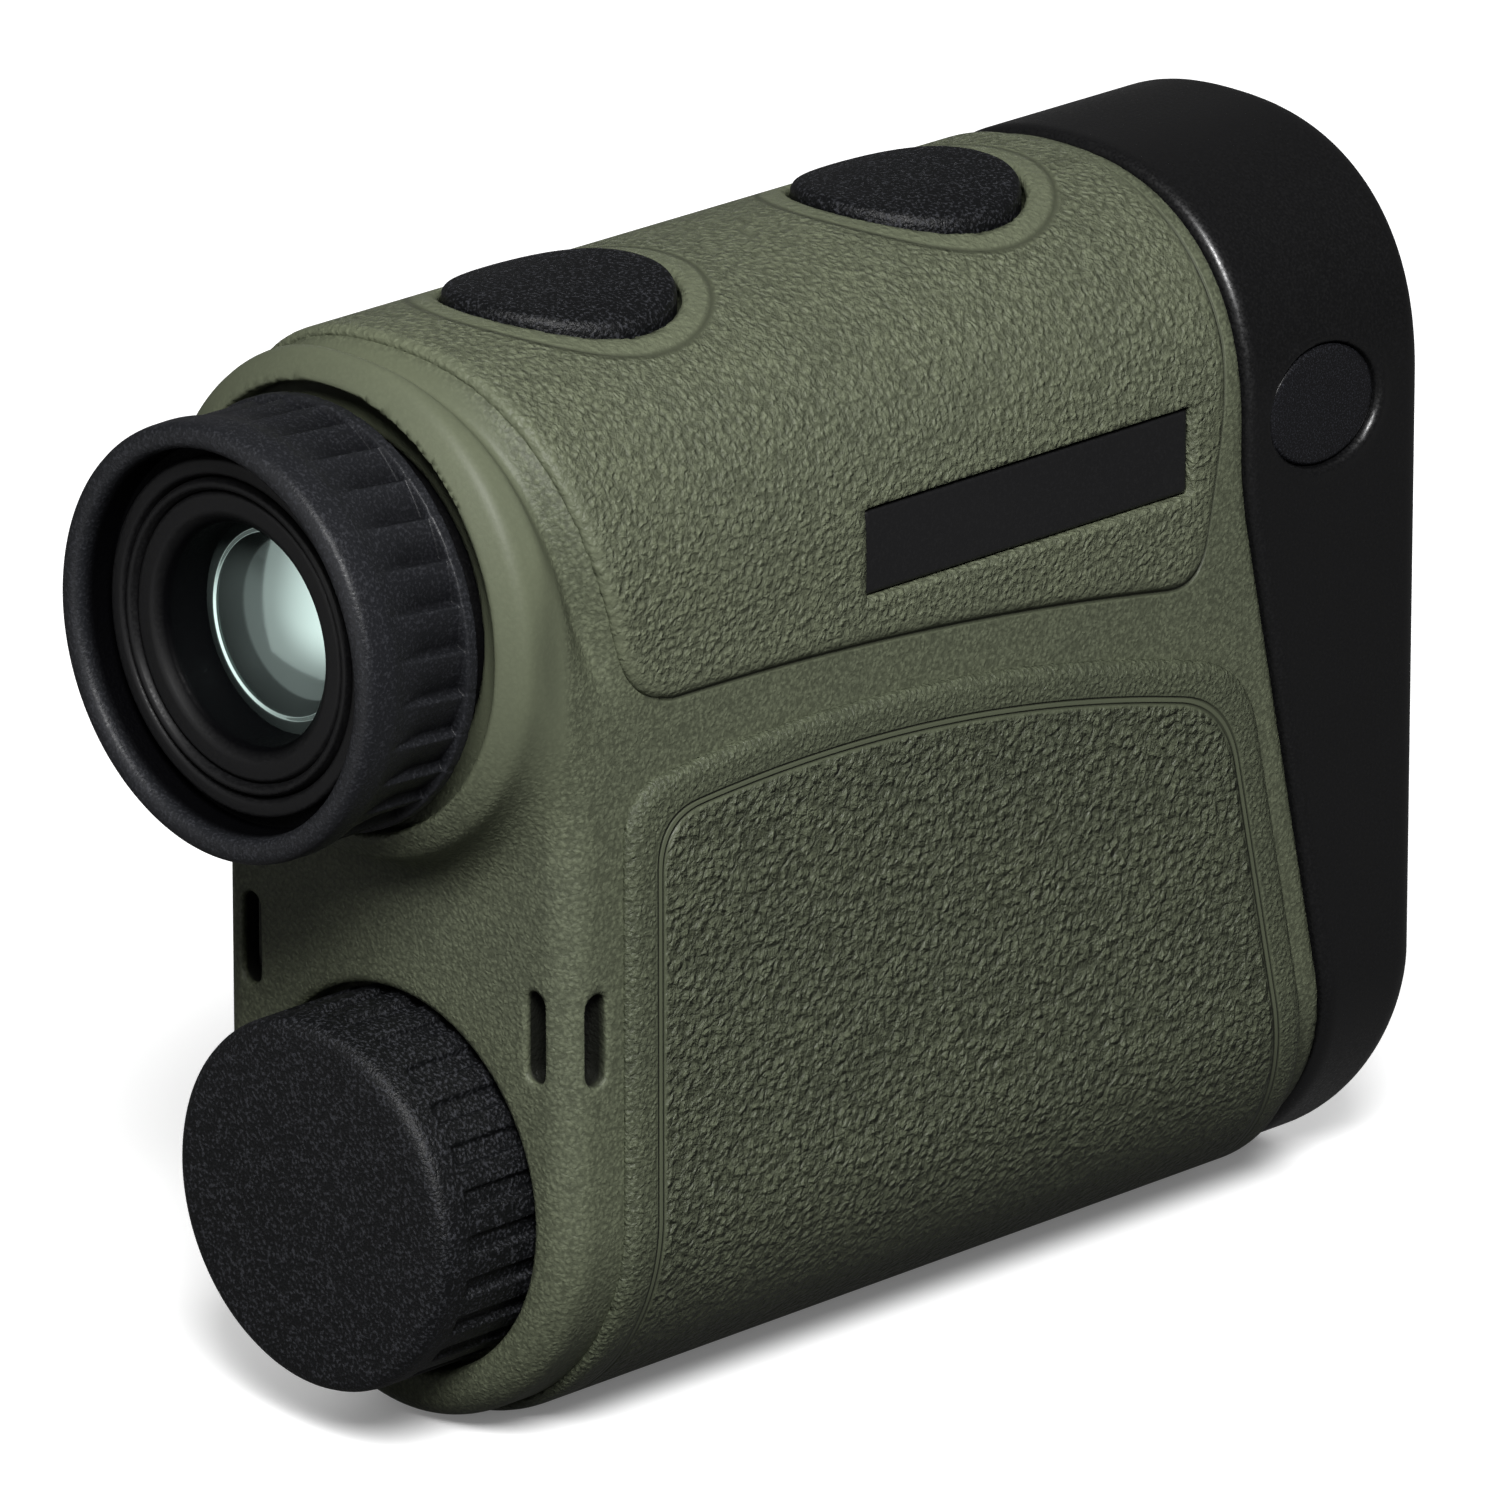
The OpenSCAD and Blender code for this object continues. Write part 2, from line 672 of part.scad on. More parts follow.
module receiver_diode() color("#b8a368") placed() translate([0, prism_y + 12, 0]) {
    translate([0, 0, eye_z - prism_half - 1.4]) cylinder(r = 3.4, h = 1.35);
    translate([0, 0, eye_z - prism_half - 0.1]) cylinder(r = 2.5, h = 1.1);
    for (x = [-1.2, 1.2]) translate([x, 0, board_z + board_t + 0.1])
        cylinder(r = 0.25, h = eye_z - prism_half - 1.3 - board_z - board_t, $fn = 16);
}

// ---------- boards ----------

module board_holes(r) for (s = [-1, 1], y = [board_y + 4, board_y + board_l - 4])
    translate([s * (inner_r - 2.2), y, board_z - 1]) cylinder(r = r, h = 4, $fn = 24);

module main_board() color("#2f6b45") placed() difference() {
    translate([-board_half, board_y, board_z]) cube([2 * board_half, board_l, board_t]);
    board_holes(0.8);
}

module board_parts() color("#26282a") placed() translate([0, 0, board_z + board_t + 0.02]) {
    translate([-9, board_y + 8, 0]) cube([8, 8, 1]);
    translate([1.5, board_y + 22, 0]) cube([6, 5, 0.9]);
    translate([-10, board_y + 24, 0]) cube([5, 5, 1.2]);
    translate([-6, board_y + 38, 0]) cube([9, 4, 1.4]);
    for (i = [0:4]) translate([-8 + 2.6 * i, board_y + 18.4, 0]) cube([1.2, 2, 0.7]);
    translate([8, board_y + 40, 0]) cylinder(r = 1.9, h = 3.2);
}

module board_screws() color("#8d8f92") placed() for (s = [-1, 1], y = [board_y + 4, board_y + board_l - 4])
    translate([s * (inner_r - 2.2), y, 0]) {
        translate([0, 0, board_z + board_t + 0.03]) cylinder(r = 1.2, h = 0.7, $fn = 32);
        translate([0, 0, board_z - 2]) cylinder(r = 0.58, h = 2 + board_t + 0.1, $fn = 24);
    }

switch_board_top = switch_top - switch_h;
switch_margin = 4;
module switch_board() color("#2f6b45") placed()
    translate([-5, menu_y - switch_margin, switch_board_top - switch_board_t])
        cube([10, button_pitch + 2 * switch_margin, switch_board_t]);

module switch_bodies() color("#c9c3ae") placed() for (y = [menu_y, menu_y + button_pitch])
    translate([0, y, switch_board_top + 0.02]) difference() {
        translate([-2.2, -2.2, 0]) cube([4.4, 4.4, switch_h - 0.02]);
        translate([0, 0, 0.1]) cylinder(r = plunger_r + run_gap, h = 4);
    }

module button_seals() color("#1d1e20") placed() for (y = [menu_y, menu_y + button_pitch])
    translate([0, y, well_z - well_floor_t / 2 + 0.02]) difference() {
        cylinder(r = stem_r + 1.05, h = well_floor_t / 2 - 0.05);
        translate([0, 0, -1]) cylinder(r = stem_r + run_gap, h = 3);
    }

// ---------- buttons ----------

// Round button whose top follows the armour
module button(y) {
    crown = armour_r + button_proud;
    intersection() {
        translate([0, y, well_z + button_travel + 0.1]) cylinder(r = button_r, h = far);
        rod(eye_z, crown, 0, overall_l);
    }
    translate([0, y, stem_low]) cylinder(r = stem_r, h = well_z + button_travel + 0.4 - stem_low);
}

module menu_button() color("#191a1d") placed() button(menu_y);

module measure_button() color("#191a1d") placed() button(menu_y + button_pitch);

module plunger(y) translate([0, y, switch_board_top + 0.75])
    cylinder(r = plunger_r, h = stem_low - plunger_gap - switch_board_top - 0.75);

module menu_plunger() color("#33353a") placed() plunger(menu_y);

module measure_plunger() color("#33353a") placed() plunger(menu_y + button_pitch);

// ---------- eyepiece ----------

// Rubber eyecup: rolled lip, deep inner groove, fluted grip and base flange
module eyecup() color("#1a1b1e") placed() {
    lip = 0.95;
    side_r = eyecup_r - 0.45;
    difference() {
        turned(eye_z) {
            translate([eyecup_r - lip, lip]) circle(r = lip);
            polygon([
                [eyecup_r, lip], [side_r - 0.05, 3.6], [side_r, 4.2], [side_r, eyecup_l - 0.9],
                [side_r + 0.2, eyecup_l - 0.7], [side_r + 0.2, eyecup_l], [sleeve_bore + seat_gap, eyecup_l],
                [sleeve_bore + seat_gap, barrel_y + flange_t + 0.05], [eyecup_r - 2.5, barrel_y + flange_t + 0.05],
                [eyecup_r - 2 * lip, lip]
            ]);
        }
        for (i = [0:eyecup_flutes - 1]) translate([0, 0, eye_z]) rotate([0, i * 360 / eyecup_flutes, 0])
            translate([side_r - 0.4, 3.9, 0]) rotate([0, 16, 0]) cube([3, eyecup_l - 5.1, 2]);
    }
}

module eyepiece_barrel() color("#141518") placed() turned(eye_z) polygon([
    [cell_r + run_gap, barrel_y + 0.3], [cell_r + 0.4, barrel_y], [flange_r - 0.3, barrel_y],
    [flange_r, barrel_y + 0.4], [flange_r, barrel_y + flange_t], [sleeve_bore, barrel_y + flange_t],
    [sleeve_bore, eyecup_l + 0.2], [barrel_r - 0.5, eyecup_l + 0.2], [barrel_r - 0.5, seal_y],
    [barrel_r - 0.9, seal_y], [barrel_r - 0.9, seal_y + 1], [barrel_r, seal_y + 1],
    [barrel_r, barrel_y + barrel_l], [cell_r + run_gap, barrel_y + barrel_l]
]);
seal_y = mouth_floor_y + 2.2;

module barrel_seal() color("#202124") placed()
    ring(eye_z, barrel_r + run_gap - 0.03, barrel_r - 0.87, seal_y + 0.05, 0.9);

// Cell that carries both lenses and is kept from turning by the barrel's key
module lens_cell() color("#17181b") placed() turned(eye_z) polygon([
    [cell_bore, cell_y + 0.2], [cell_bore + 0.2, cell_y], [cell_r - 0.2, cell_y], [cell_r, cell_y + 0.2],
    [cell_r, cell_y + cell_l], [field_lens_r - 1, cell_y + cell_l],
    [field_lens_r - 1, cell_y + cell_l - 1], [field_lens_r + seat_gap, cell_y + cell_l - 2],
    [field_lens_r + seat_gap, eye_lens_y + eye_lens_t + 0.2], [eye_lens_r + seat_gap, eye_lens_y + eye_lens_t + 0.2],
    [eye_lens_r + seat_gap, eye_lens_y - 0.1], [cell_bore, eye_lens_y - 0.1]
]);

// Threaded ring that holds the eye lens in its cell
module cell_ring() color("#202226") placed() turned(eye_z) polygon([
    [cell_bore - seat_gap, cell_y + 0.35], [cell_bore - 0.25, cell_y + 0.1], [eye_lens_r + 0.3, cell_y + 0.1],
    [eye_lens_r - 0.5, cell_y + 1], [eye_lens_r - 0.5, eye_lens_y - 0.3],
    [cell_bore - seat_gap, eye_lens_y - 0.15]
]);

module eye_lens() color("#7fa9a4") placed()
    lens(eye_z, eye_lens_r, eye_lens_y, eye_lens_t, 18, 60);

module lens_spacer() color("#202226") placed()
    ring(eye_z, field_lens_r, field_lens_r - 0.9, eye_lens_y + eye_lens_t + 0.65, spacer_l);

module field_lens() color("#8fb3b0") placed()
    lens(eye_z, field_lens_r, eye_lens_y + eye_lens_t + spacer_l + 1.2, field_lens_t, 60, 16);

// ---------- battery bay ----------

module battery_tube() color("#2b2c2f") placed() difference() {
    rod(cap_z, battery_tube_r, tube_start_y, contact_y + contact_t + tube_floor_t - tube_start_y);
    rod(cap_z, battery_r + 0.3, 0, contact_y + contact_t);
    rod(cap_z, 2.4, 0, far);
}

module battery() color("#3d5f8f") placed() {
    rod(cap_z, battery_r, battery_y, battery_l - 1);
    rod(cap_z, 3.2, battery_front_y - 1.1, 1.1);
}

module contact_plate() color("#c2a55a") placed() {
    ring(cap_z, battery_r + 0.2, 1.2, contact_y + 0.02, contact_t - 0.05);
    rod(cap_z, 1.6, contact_y + contact_t - 0.05, tube_floor_t + 1.2);
}

// Conical coil spring from the contact plate to the battery's pole
spring_wire = 0.3;
spring_turns = 3.5;
spring_low_r = 2.6;
spring_sides = 8;
spring_steps = 70;
spring_y0 = battery_front_y + 0.02 + spring_wire;
spring_y1 = contact_y - spring_wire - 0.02;
function spring_at(t) = let(r = spring_low_r + 3 * t, a = 360 * spring_turns * t)
    [r * cos(a), spring_y0 + (spring_y1 - spring_y0) * t, cap_z + r * sin(a)];
function spring_ring(t) = let(a = 360 * spring_turns * t, out = [cos(a), 0, sin(a)])
    [for (k = [0:spring_sides - 1]) let(b = 360 * k / spring_sides)
        spring_at(t) + spring_wire * (cos(b) * out + sin(b) * [0, 1, 0])];
module contact_spring() color("#b9bcc0") placed() {
    n = spring_sides;
    polyhedron([for (i = [0:spring_steps]) each spring_ring(i / spring_steps)], concat(
        [[for (k = [0:n - 1]) k]],
        [for (i = [0:spring_steps - 1], k = [0:n - 1])
            [i * n + k, (i + 1) * n + k, (i + 1) * n + (k + 1) % n, i * n + (k + 1) % n]],
        [[for (k = [n - 1:-1:0]) spring_steps * n + k]]
    ));
}

// Fluted cap with a threaded spigot that screws into the housing's neck
module battery_cap() color("#1a1b1e") placed() {
    edge = 1.1;
    difference() {
        turned(cap_z) {
            polygon([
                [0, cap_face_y], [cap_r - edge, cap_face_y], [cap_r, cap_face_y + edge],
                [cap_r, cap_base_y], [spigot_r, cap_base_y], [spigot_r, seal_cap_y], [spigot_r - 0.6, seal_cap_y],
                [spigot_r - 0.6, seal_cap_y + 0.8], [spigot_r, seal_cap_y + 0.8],
                [spigot_r, spigot_end_y], [spigot_r - spigot_t, spigot_end_y],
                [spigot_r - spigot_t, cap_base_y - 1], [0, cap_base_y - 1]
            ]);
            intersection() {
                translate([cap_r - edge, cap_face_y + edge]) circle(r = edge);
                square([cap_r, cap_face_y + edge]);
            }
        }
        for (i = [0:cap_flutes - 1]) translate([0, 0, cap_z]) rotate([0, i * 360 / cap_flutes, 0])
            translate([cap_r - 0.45, cap_face_y + 2.6, -0.65]) cube([2, cap_base_y - cap_face_y, 1.3]);
    }
}

module cap_seal() color("#25262a") placed()
    ring(cap_z, neck_r - 0.03, spigot_r - 0.57, seal_cap_y + 0.05, 0.7);

module cap_contact() color("#b9bcc0") placed() {
    floor_y = cap_base_y - 1;
    rod(cap_z, spigot_r - spigot_t - run_gap, floor_y + 0.03, 0.6);
    rod(cap_z, 4, floor_y + 0.5, battery_y - floor_y - 0.6);
}

housing();
upper_armour();
grip_wrap();
side_plate();
front_bezel();
badge_disc();
front_plate();
plate_screws();
objective_lens();
objective_ring();
objective_tube();
prism_housing();
roof_prism();
half_penta_prism();
prism_clip();
display_panel();
laser_lens();
laser_ring();
laser_tube();
laser_diode();
receiver_diode();
main_board();
board_parts();
board_screws();
switch_board();
switch_bodies();
button_seals();
menu_button();
menu_plunger();
measure_button();
measure_plunger();
eyecup();
eyepiece_barrel();
barrel_seal();
lens_cell();
cell_ring();
eye_lens();
lens_spacer();
field_lens();
battery_tube();
battery();
contact_plate();
contact_spring();
battery_cap();
cap_seal();
cap_contact();
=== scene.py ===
# %% [markdown]
# # A pocket laser rangefinder
# The real thing is a hand-sized monocular that stands upright: an eyepiece above, a screw cap over the
# battery below, an olive moulded housing with rubber armour and a pebbled grip, and a black front bezel.
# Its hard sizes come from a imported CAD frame. This lesson keeps that frame fixed and makes the skins that
# the eye sees: soft moulded edges, fluted rubber, coated glass, and the grain of each surface.

# %% Load the frame
import bpy
import numpy as np
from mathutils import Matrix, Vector


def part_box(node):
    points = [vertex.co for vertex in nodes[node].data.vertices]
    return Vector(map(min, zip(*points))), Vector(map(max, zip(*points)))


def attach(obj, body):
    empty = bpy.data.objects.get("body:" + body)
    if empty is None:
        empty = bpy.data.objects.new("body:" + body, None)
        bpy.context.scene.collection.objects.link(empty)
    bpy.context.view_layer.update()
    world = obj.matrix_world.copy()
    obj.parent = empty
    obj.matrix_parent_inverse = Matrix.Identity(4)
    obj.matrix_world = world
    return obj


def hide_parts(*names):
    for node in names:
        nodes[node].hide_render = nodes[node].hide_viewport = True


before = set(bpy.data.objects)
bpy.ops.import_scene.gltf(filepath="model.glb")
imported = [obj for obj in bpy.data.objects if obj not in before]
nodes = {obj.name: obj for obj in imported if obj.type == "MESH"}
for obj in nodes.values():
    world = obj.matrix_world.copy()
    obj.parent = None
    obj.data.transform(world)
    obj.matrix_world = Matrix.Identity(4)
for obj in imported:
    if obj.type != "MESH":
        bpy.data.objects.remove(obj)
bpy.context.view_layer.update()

# %% [markdown]
# ## Places and sizes
# Places are read from the frame's boxes, in millimetres, so a change in the CAD moves the skins with it.
# The sight line runs along +Y, so the eyepiece and the cap are turned about lines parallel to Y. The band
# is the bare housing between collar and bezel, and the armour lies on it.

# %% Places in millimetres
MM = 0.001


def span(node):
    """Lowest and highest corner of a CAD node, in millimetres."""
    low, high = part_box(node)
    return np.array(low) / MM, np.array(high) / MM


def middle(node):
    """Middle of a CAD node's box, in millimetres."""
    low, high = span(node)
    return (low + high) / 2


EYE_Z = middle("eyecup")[2]
CAP_Z = middle("battery_cap")[2]
LIP_Y = span("eyecup")[0][1]
COLLAR_L = 5.4
COLLAR_Y = span("housing")[0][1]
REAR_Y = COLLAR_Y + COLLAR_L
FRONT_Y = span("front_bezel")[1][1]
ARMOUR_T = 0.5
ARMOUR_R = span("upper_armour")[1][0]
BAND_R = ARMOUR_R - ARMOUR_T
print(f"eye axis {EYE_Z:.2f}, cap axis {CAP_Z:.2f}, rear face {REAR_Y:.2f}, band radius {BAND_R:.2f}")

# %% [markdown]
# ## How the moulded pieces are made
# A moulded housing has no sharp edge: every wall runs into the next through a small radius. Bevels on
# boolean cuts give up where such rounds cross, and a distance field doesn't. It is a function that says
# how far a point lies outside the solid, less than zero inside, and two fields are joined or cut with a
# soft minimum or maximum whose width sets the moulding radius.

# %% Soft joins and cuts
def join(a, b, width):
    """Soft minimum: the lower field, less a quarter of width where both are equal."""
    h = np.maximum(width - np.abs(a - b), 0) / width
    return np.minimum(a, b) - h * h * width / 4


def meet(a, b, width):
    """Soft maximum: what lies in both solids, with a rounded edge."""
    return -join(-a, -b, width)


def cut(a, b, width):
    """What lies in a and not in b, with a rounded edge."""
    return meet(a, -b, width)


def ease(x, low, high):
    """0 below low, 1 above high, with a smooth step between."""
    t = np.clip((x - low) / (high - low), 0, 1)
    return t * t * (3 - 2 * t)


def bump(x, width):
    """A bell of height 1 about x = 0."""
    return np.exp(-((x / width) ** 2))


print(f"a join 4 mm wide fills the corner where two walls meet by {-join(0.0, 0.0, 4.0):.1f} mm")

# %% [markdown]
# The skin is then pulled out of the field with surface nets. The field is sampled on a grid of planes,
# each grid cell that the surface crosses gets one vertex, and each grid edge that it crosses gets one
# face. Newton's method then moves the vertices onto the surface, so that coarse planes still give a true
# shape.

# %% Pull a skin out of a field
def skin(field, planes):
    """Surface nets of a field on three sorted lists of planes. A cell's vertex is the mean of the points
    where its edges cross the surface, moved onto the surface by Newton steps along the field's slope. A
    face is turned outwards by the sign of the field at the lower end of its edge."""
    value = field(planes[0][:, None, None], planes[1][None, :, None], planes[2][None, None, :])
    cells = np.array(value.shape) - 1
    points, owners, quads = [], [], []
    for a in range(3):
        b, c = (a + 1) % 3, (a + 2) % 3
        low = np.moveaxis(np.moveaxis(value, a, 0)[:-1], 0, a)
        high = np.moveaxis(np.moveaxis(value, a, 0)[1:], 0, a)
        index = np.nonzero((low < 0) != (high < 0))
        at_low, at_high = low[index], high[index]
        point = np.stack([planes[m][index[m]] for m in range(3)], axis=1)
        step = planes[a][index[a] + 1] - planes[a][index[a]]
        point[:, a] += step * at_low / (at_low - at_high)
        ring = []
        for db, dc in ((-1, -1), (0, -1), (0, 0), (-1, 0)):
            cell = [index[0], index[1], index[2]]
            cell[b] = cell[b] + db
            cell[c] = cell[c] + dc
            ring.append((cell[0] * cells[1] + cell[1]) * cells[2] + cell[2])
        ring = np.stack(ring, axis=1)
        ring[at_low >= 0] = ring[at_low >= 0][:, ::-1]
        quads.append(ring)
        owners.append(ring.ravel())
        points.append(np.repeat(point, 4, axis=0))
    owners, points = np.concatenate(owners), np.concatenate(points)
    names, slot = np.unique(owners, return_inverse=True)
    count = np.bincount(slot)
    vertex = np.stack([np.bincount(slot, points[:, m]) / count for m in range(3)], axis=1)
    faces = np.searchsorted(names, np.concatenate(quads))
    for _ in range(3):
        vertex = vertex - slide(field, vertex)
    return vertex, faces


def slide(field, vertex, reach=0.02, most=0.12, least_slope=0.05):
    """How far each vertex has to move to reach the surface: the field over its slope, along its slope."""
    here = field(*vertex.T)
    slope = np.stack([
        (field(*(vertex + reach * side).T) - field(*(vertex - reach * side).T)) / (2 * reach)
        for side in np.eye(3)
    ], axis=1)
    move = slope * (here / np.maximum((slope**2).sum(axis=1), least_slope))[:, None]
    size = np.linalg.norm(move, axis=1, keepdims=True)
    return move * np.minimum(1, most / np.maximum(size, 1e-9))


def steps(*stretches):
    """Sorted planes from (start, end, spacing) stretches that follow each other."""
    parts = [np.arange(round((end - start) / gap)) * gap + start for start, end, gap in stretches]
    return np.append(np.concatenate(parts), stretches[-1][1])


ball, _ = skin(lambda x, y, z: np.sqrt(x**2 + y**2 + z**2) - 5, [steps((-6, 6, 0.8))] * 3)
worst = np.abs(np.linalg.norm(ball, axis=1) - 5).max()
print(f"a ball of 5 mm on planes 0.8 mm apart is true to {worst / MM:.3f} micrometres")

# %% [markdown]
# Each finished skin becomes a mesh object at the origin. It rides on a CAD body and stands for the CAD
# nodes that it covers. Where a finish has to know a place on the piece, such as how far a pressed line
# is, the mesh carries that number on its vertices.

# %% Put a piece in the scene
def put(name, vertex, faces, body, stands_for, finish):
    """A mesh piece from millimetre points and faces of four, riding on a CAD body."""
    mesh = bpy.data.meshes.new(name)
    faces = np.asarray(faces)
    mesh.vertices.add(len(vertex))
    mesh.vertices.foreach_set("co", (np.asarray(vertex) * MM).astype(np.float32).ravel())
    mesh.loops.add(faces.size)
    mesh.loops.foreach_set("vertex_index", faces.astype(np.int32).ravel())
    mesh.polygons.add(len(faces))
    mesh.polygons.foreach_set("loop_start", np.arange(0, faces.size, faces.shape[1], dtype=np.int32))
    mesh.polygons.foreach_set("use_smooth", np.ones(len(faces), bool))
    mesh.update(calc_edges=True)
    mesh.validate()
    piece = bpy.data.objects.new(name, mesh)
    bpy.context.scene.collection.objects.link(piece)
    mesh.materials.append(finish)
    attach(piece, body)
    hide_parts(*stands_for)
    print(f"{name}: {len(faces)} faces")
    return piece


def note(piece, name, values):
    """Keeps one number per vertex on the mesh, for its material to read."""
    layer = piece.data.attributes.new(name, "FLOAT", "POINT")
    layer.data.foreach_set("value", np.asarray(values, np.float32))


# %% [markdown]
# ## Finishes
# Each finish starts from what the surface is. Colours are written as the hex values a painter would name
# and turned to linear light by one function. Grain is measured in millimetres and turned into a pattern
# scale: a noise or Voronoi texture of scale s repeats about s times in a metre.

# %% Colour and node helpers
def linear(code):
    """Linear RGBA of an sRGB hex colour."""
    parts = np.array([int(code[i:i + 2], 16) for i in (1, 3, 5)]) / 255
    low = parts / 12.92
    high = ((parts + 0.055) / 1.055) ** 2.4
    return (*np.where(parts <= 0.04045, low, high).tolist(), 1.0)


def add(tree, kind, inputs=None, **settings):
    """Adds one node: its settings by name, then its inputs, each a plain value or another node's output.
    A Mix node keeps the sockets of all its types: 2 and 3 are its numbers, 6 and 7 its colours."""
    made = tree.nodes.new(kind)
    for name, value in settings.items():
        setattr(made, name, value)
    for name, value in (inputs or {}).items():
        if isinstance(value, bpy.types.NodeSocket):
            tree.links.new(value, made.inputs[name])
        else:
            made.inputs[name].default_value = value
    return made


def start(name, **plain):
    """A material with its tree, its Principled shader and its object coordinates."""
    made = bpy.data.materials.new(name)
    made.use_nodes = True
    tree = made.node_tree
    shader = tree.nodes["Principled BSDF"]
    for socket, value in plain.items():
        shader.inputs[socket.replace("_", " ")].default_value = value
    place = add(tree, "ShaderNodeTexCoord").outputs["Object"]
    return made, tree, shader, place


def per_metre(size_mm):
    """Scale of a pattern whose features are this many millimetres wide."""
    return 1 / (size_mm * MM)


print(f"#808080 is {linear('#808080')[0]:.3f} in linear light; a 0.5 mm grain has scale", per_metre(0.5))

# %% [markdown]
# ### Olive polymer and rubber
# The housing is moulded ABS with a spark-eroded skin; the armour and the grip are a soft elastomer
# moulded over it. All three have nearly the same olive, and differ in grain: fine leather on the housing,
# wrinkled leather on the armour and coarse rounded pebbles on the grip. A Voronoi field warped by noise
# gives pebbles whose edges wander, and a finer noise roughens their tops.

# %% Pebbled grain
def pebbles(tree, place, cell_mm):
    """Height from about 0 to 1 of worm-like bumps one cell apart: the domes of pushed-about cells, added
    to the ridges of a noise of nearly the same size."""
    noise = add(tree, "ShaderNodeTexNoise", {"Vector": place, "Scale": per_metre(cell_mm * 1.3),
                                             "Detail": 1.0})
    push = add(tree, "ShaderNodeVectorMath", {0: noise.outputs["Color"], 1: (0.5, 0.5, 0.5)},
               operation="SUBTRACT")
    push = add(tree, "ShaderNodeVectorMath", {0: push.outputs[0], "Scale": cell_mm * MM * 0.9},
               operation="SCALE")
    pushed = add(tree, "ShaderNodeVectorMath", {0: place, 1: push.outputs[0]})
    cell = add(tree, "ShaderNodeTexVoronoi", {"Vector": pushed.outputs[0], "Scale": per_metre(cell_mm)})
    dome = add(tree, "ShaderNodeMapRange", {"Value": cell.outputs["Distance"], "From Min": 0.0,
                                            "From Max": 0.85, "To Min": 1.0, "To Max": 0.0},
               interpolation_type="SMOOTHSTEP")
    ridge = add(tree, "ShaderNodeTexNoise", {"Vector": pushed.outputs[0], "Scale": per_metre(cell_mm * 0.8),
                                             "Detail": 3.0, "Roughness": 0.6})
    ridge = add(tree, "ShaderNodeMapRange", {"Value": ridge.outputs["Fac"], "From Min": 0.3, "From Max": 0.7})
    both = add(tree, "ShaderNodeMix", {"Factor": 0.5, 2: dome.outputs[0], 3: ridge.outputs[0]})
    return both.outputs[0]


def grain(tree, place, cell_mm, height_mm):
    """Pattern of pebbles from 0 to 1, and its height in metres."""
    relief = pebbles(tree, place, cell_mm)
    tall = add(tree, "ShaderNodeMath", {0: relief, 1: height_mm * MM}, operation="MULTIPLY")
    return relief, tall.outputs[0]


# %% [markdown]
# Lines are pressed into all three while they are moulded. The mesh says how far each point is from a
# line, and the finish turns that into a groove, keeps the grain out of it and paints shade on its floor,
# where light hardly reaches. The grip has a double line, and its coarse field starts inside the inner one.

# %% Pressed lines
def pressed_line(tree, signed, line_mm, twin_mm):
    """Two numbers: 0 in the groove and 1 beside it, and how far a point lies outside the grooves. One
    groove is where signed is 0, and its twin where signed is twice twin_mm below 0."""
    shifted = add(tree, "ShaderNodeMath", {0: signed, 1: twin_mm}, operation="ADD")
    band = add(tree, "ShaderNodeMath", {0: shifted.outputs[0]}, operation="ABSOLUTE")
    apart = add(tree, "ShaderNodeMath", {0: band.outputs[0], 1: twin_mm}, operation="SUBTRACT")
    away = add(tree, "ShaderNodeMath", {0: apart.outputs[0]}, operation="ABSOLUTE")
    pressed = add(tree, "ShaderNodeMapRange", {"Value": away.outputs[0], "From Min": 0.0,
                                               "From Max": line_mm}, interpolation_type="SMOOTHSTEP")
    return pressed.outputs[0], apart.outputs[0]


# %% Olive finish
CALM_MM = 0.35
GRAIN_CHANGE_MM = 0.3
DRIFT_MM = 9
PAINTED_SHADE_OLIVE = "#141511"


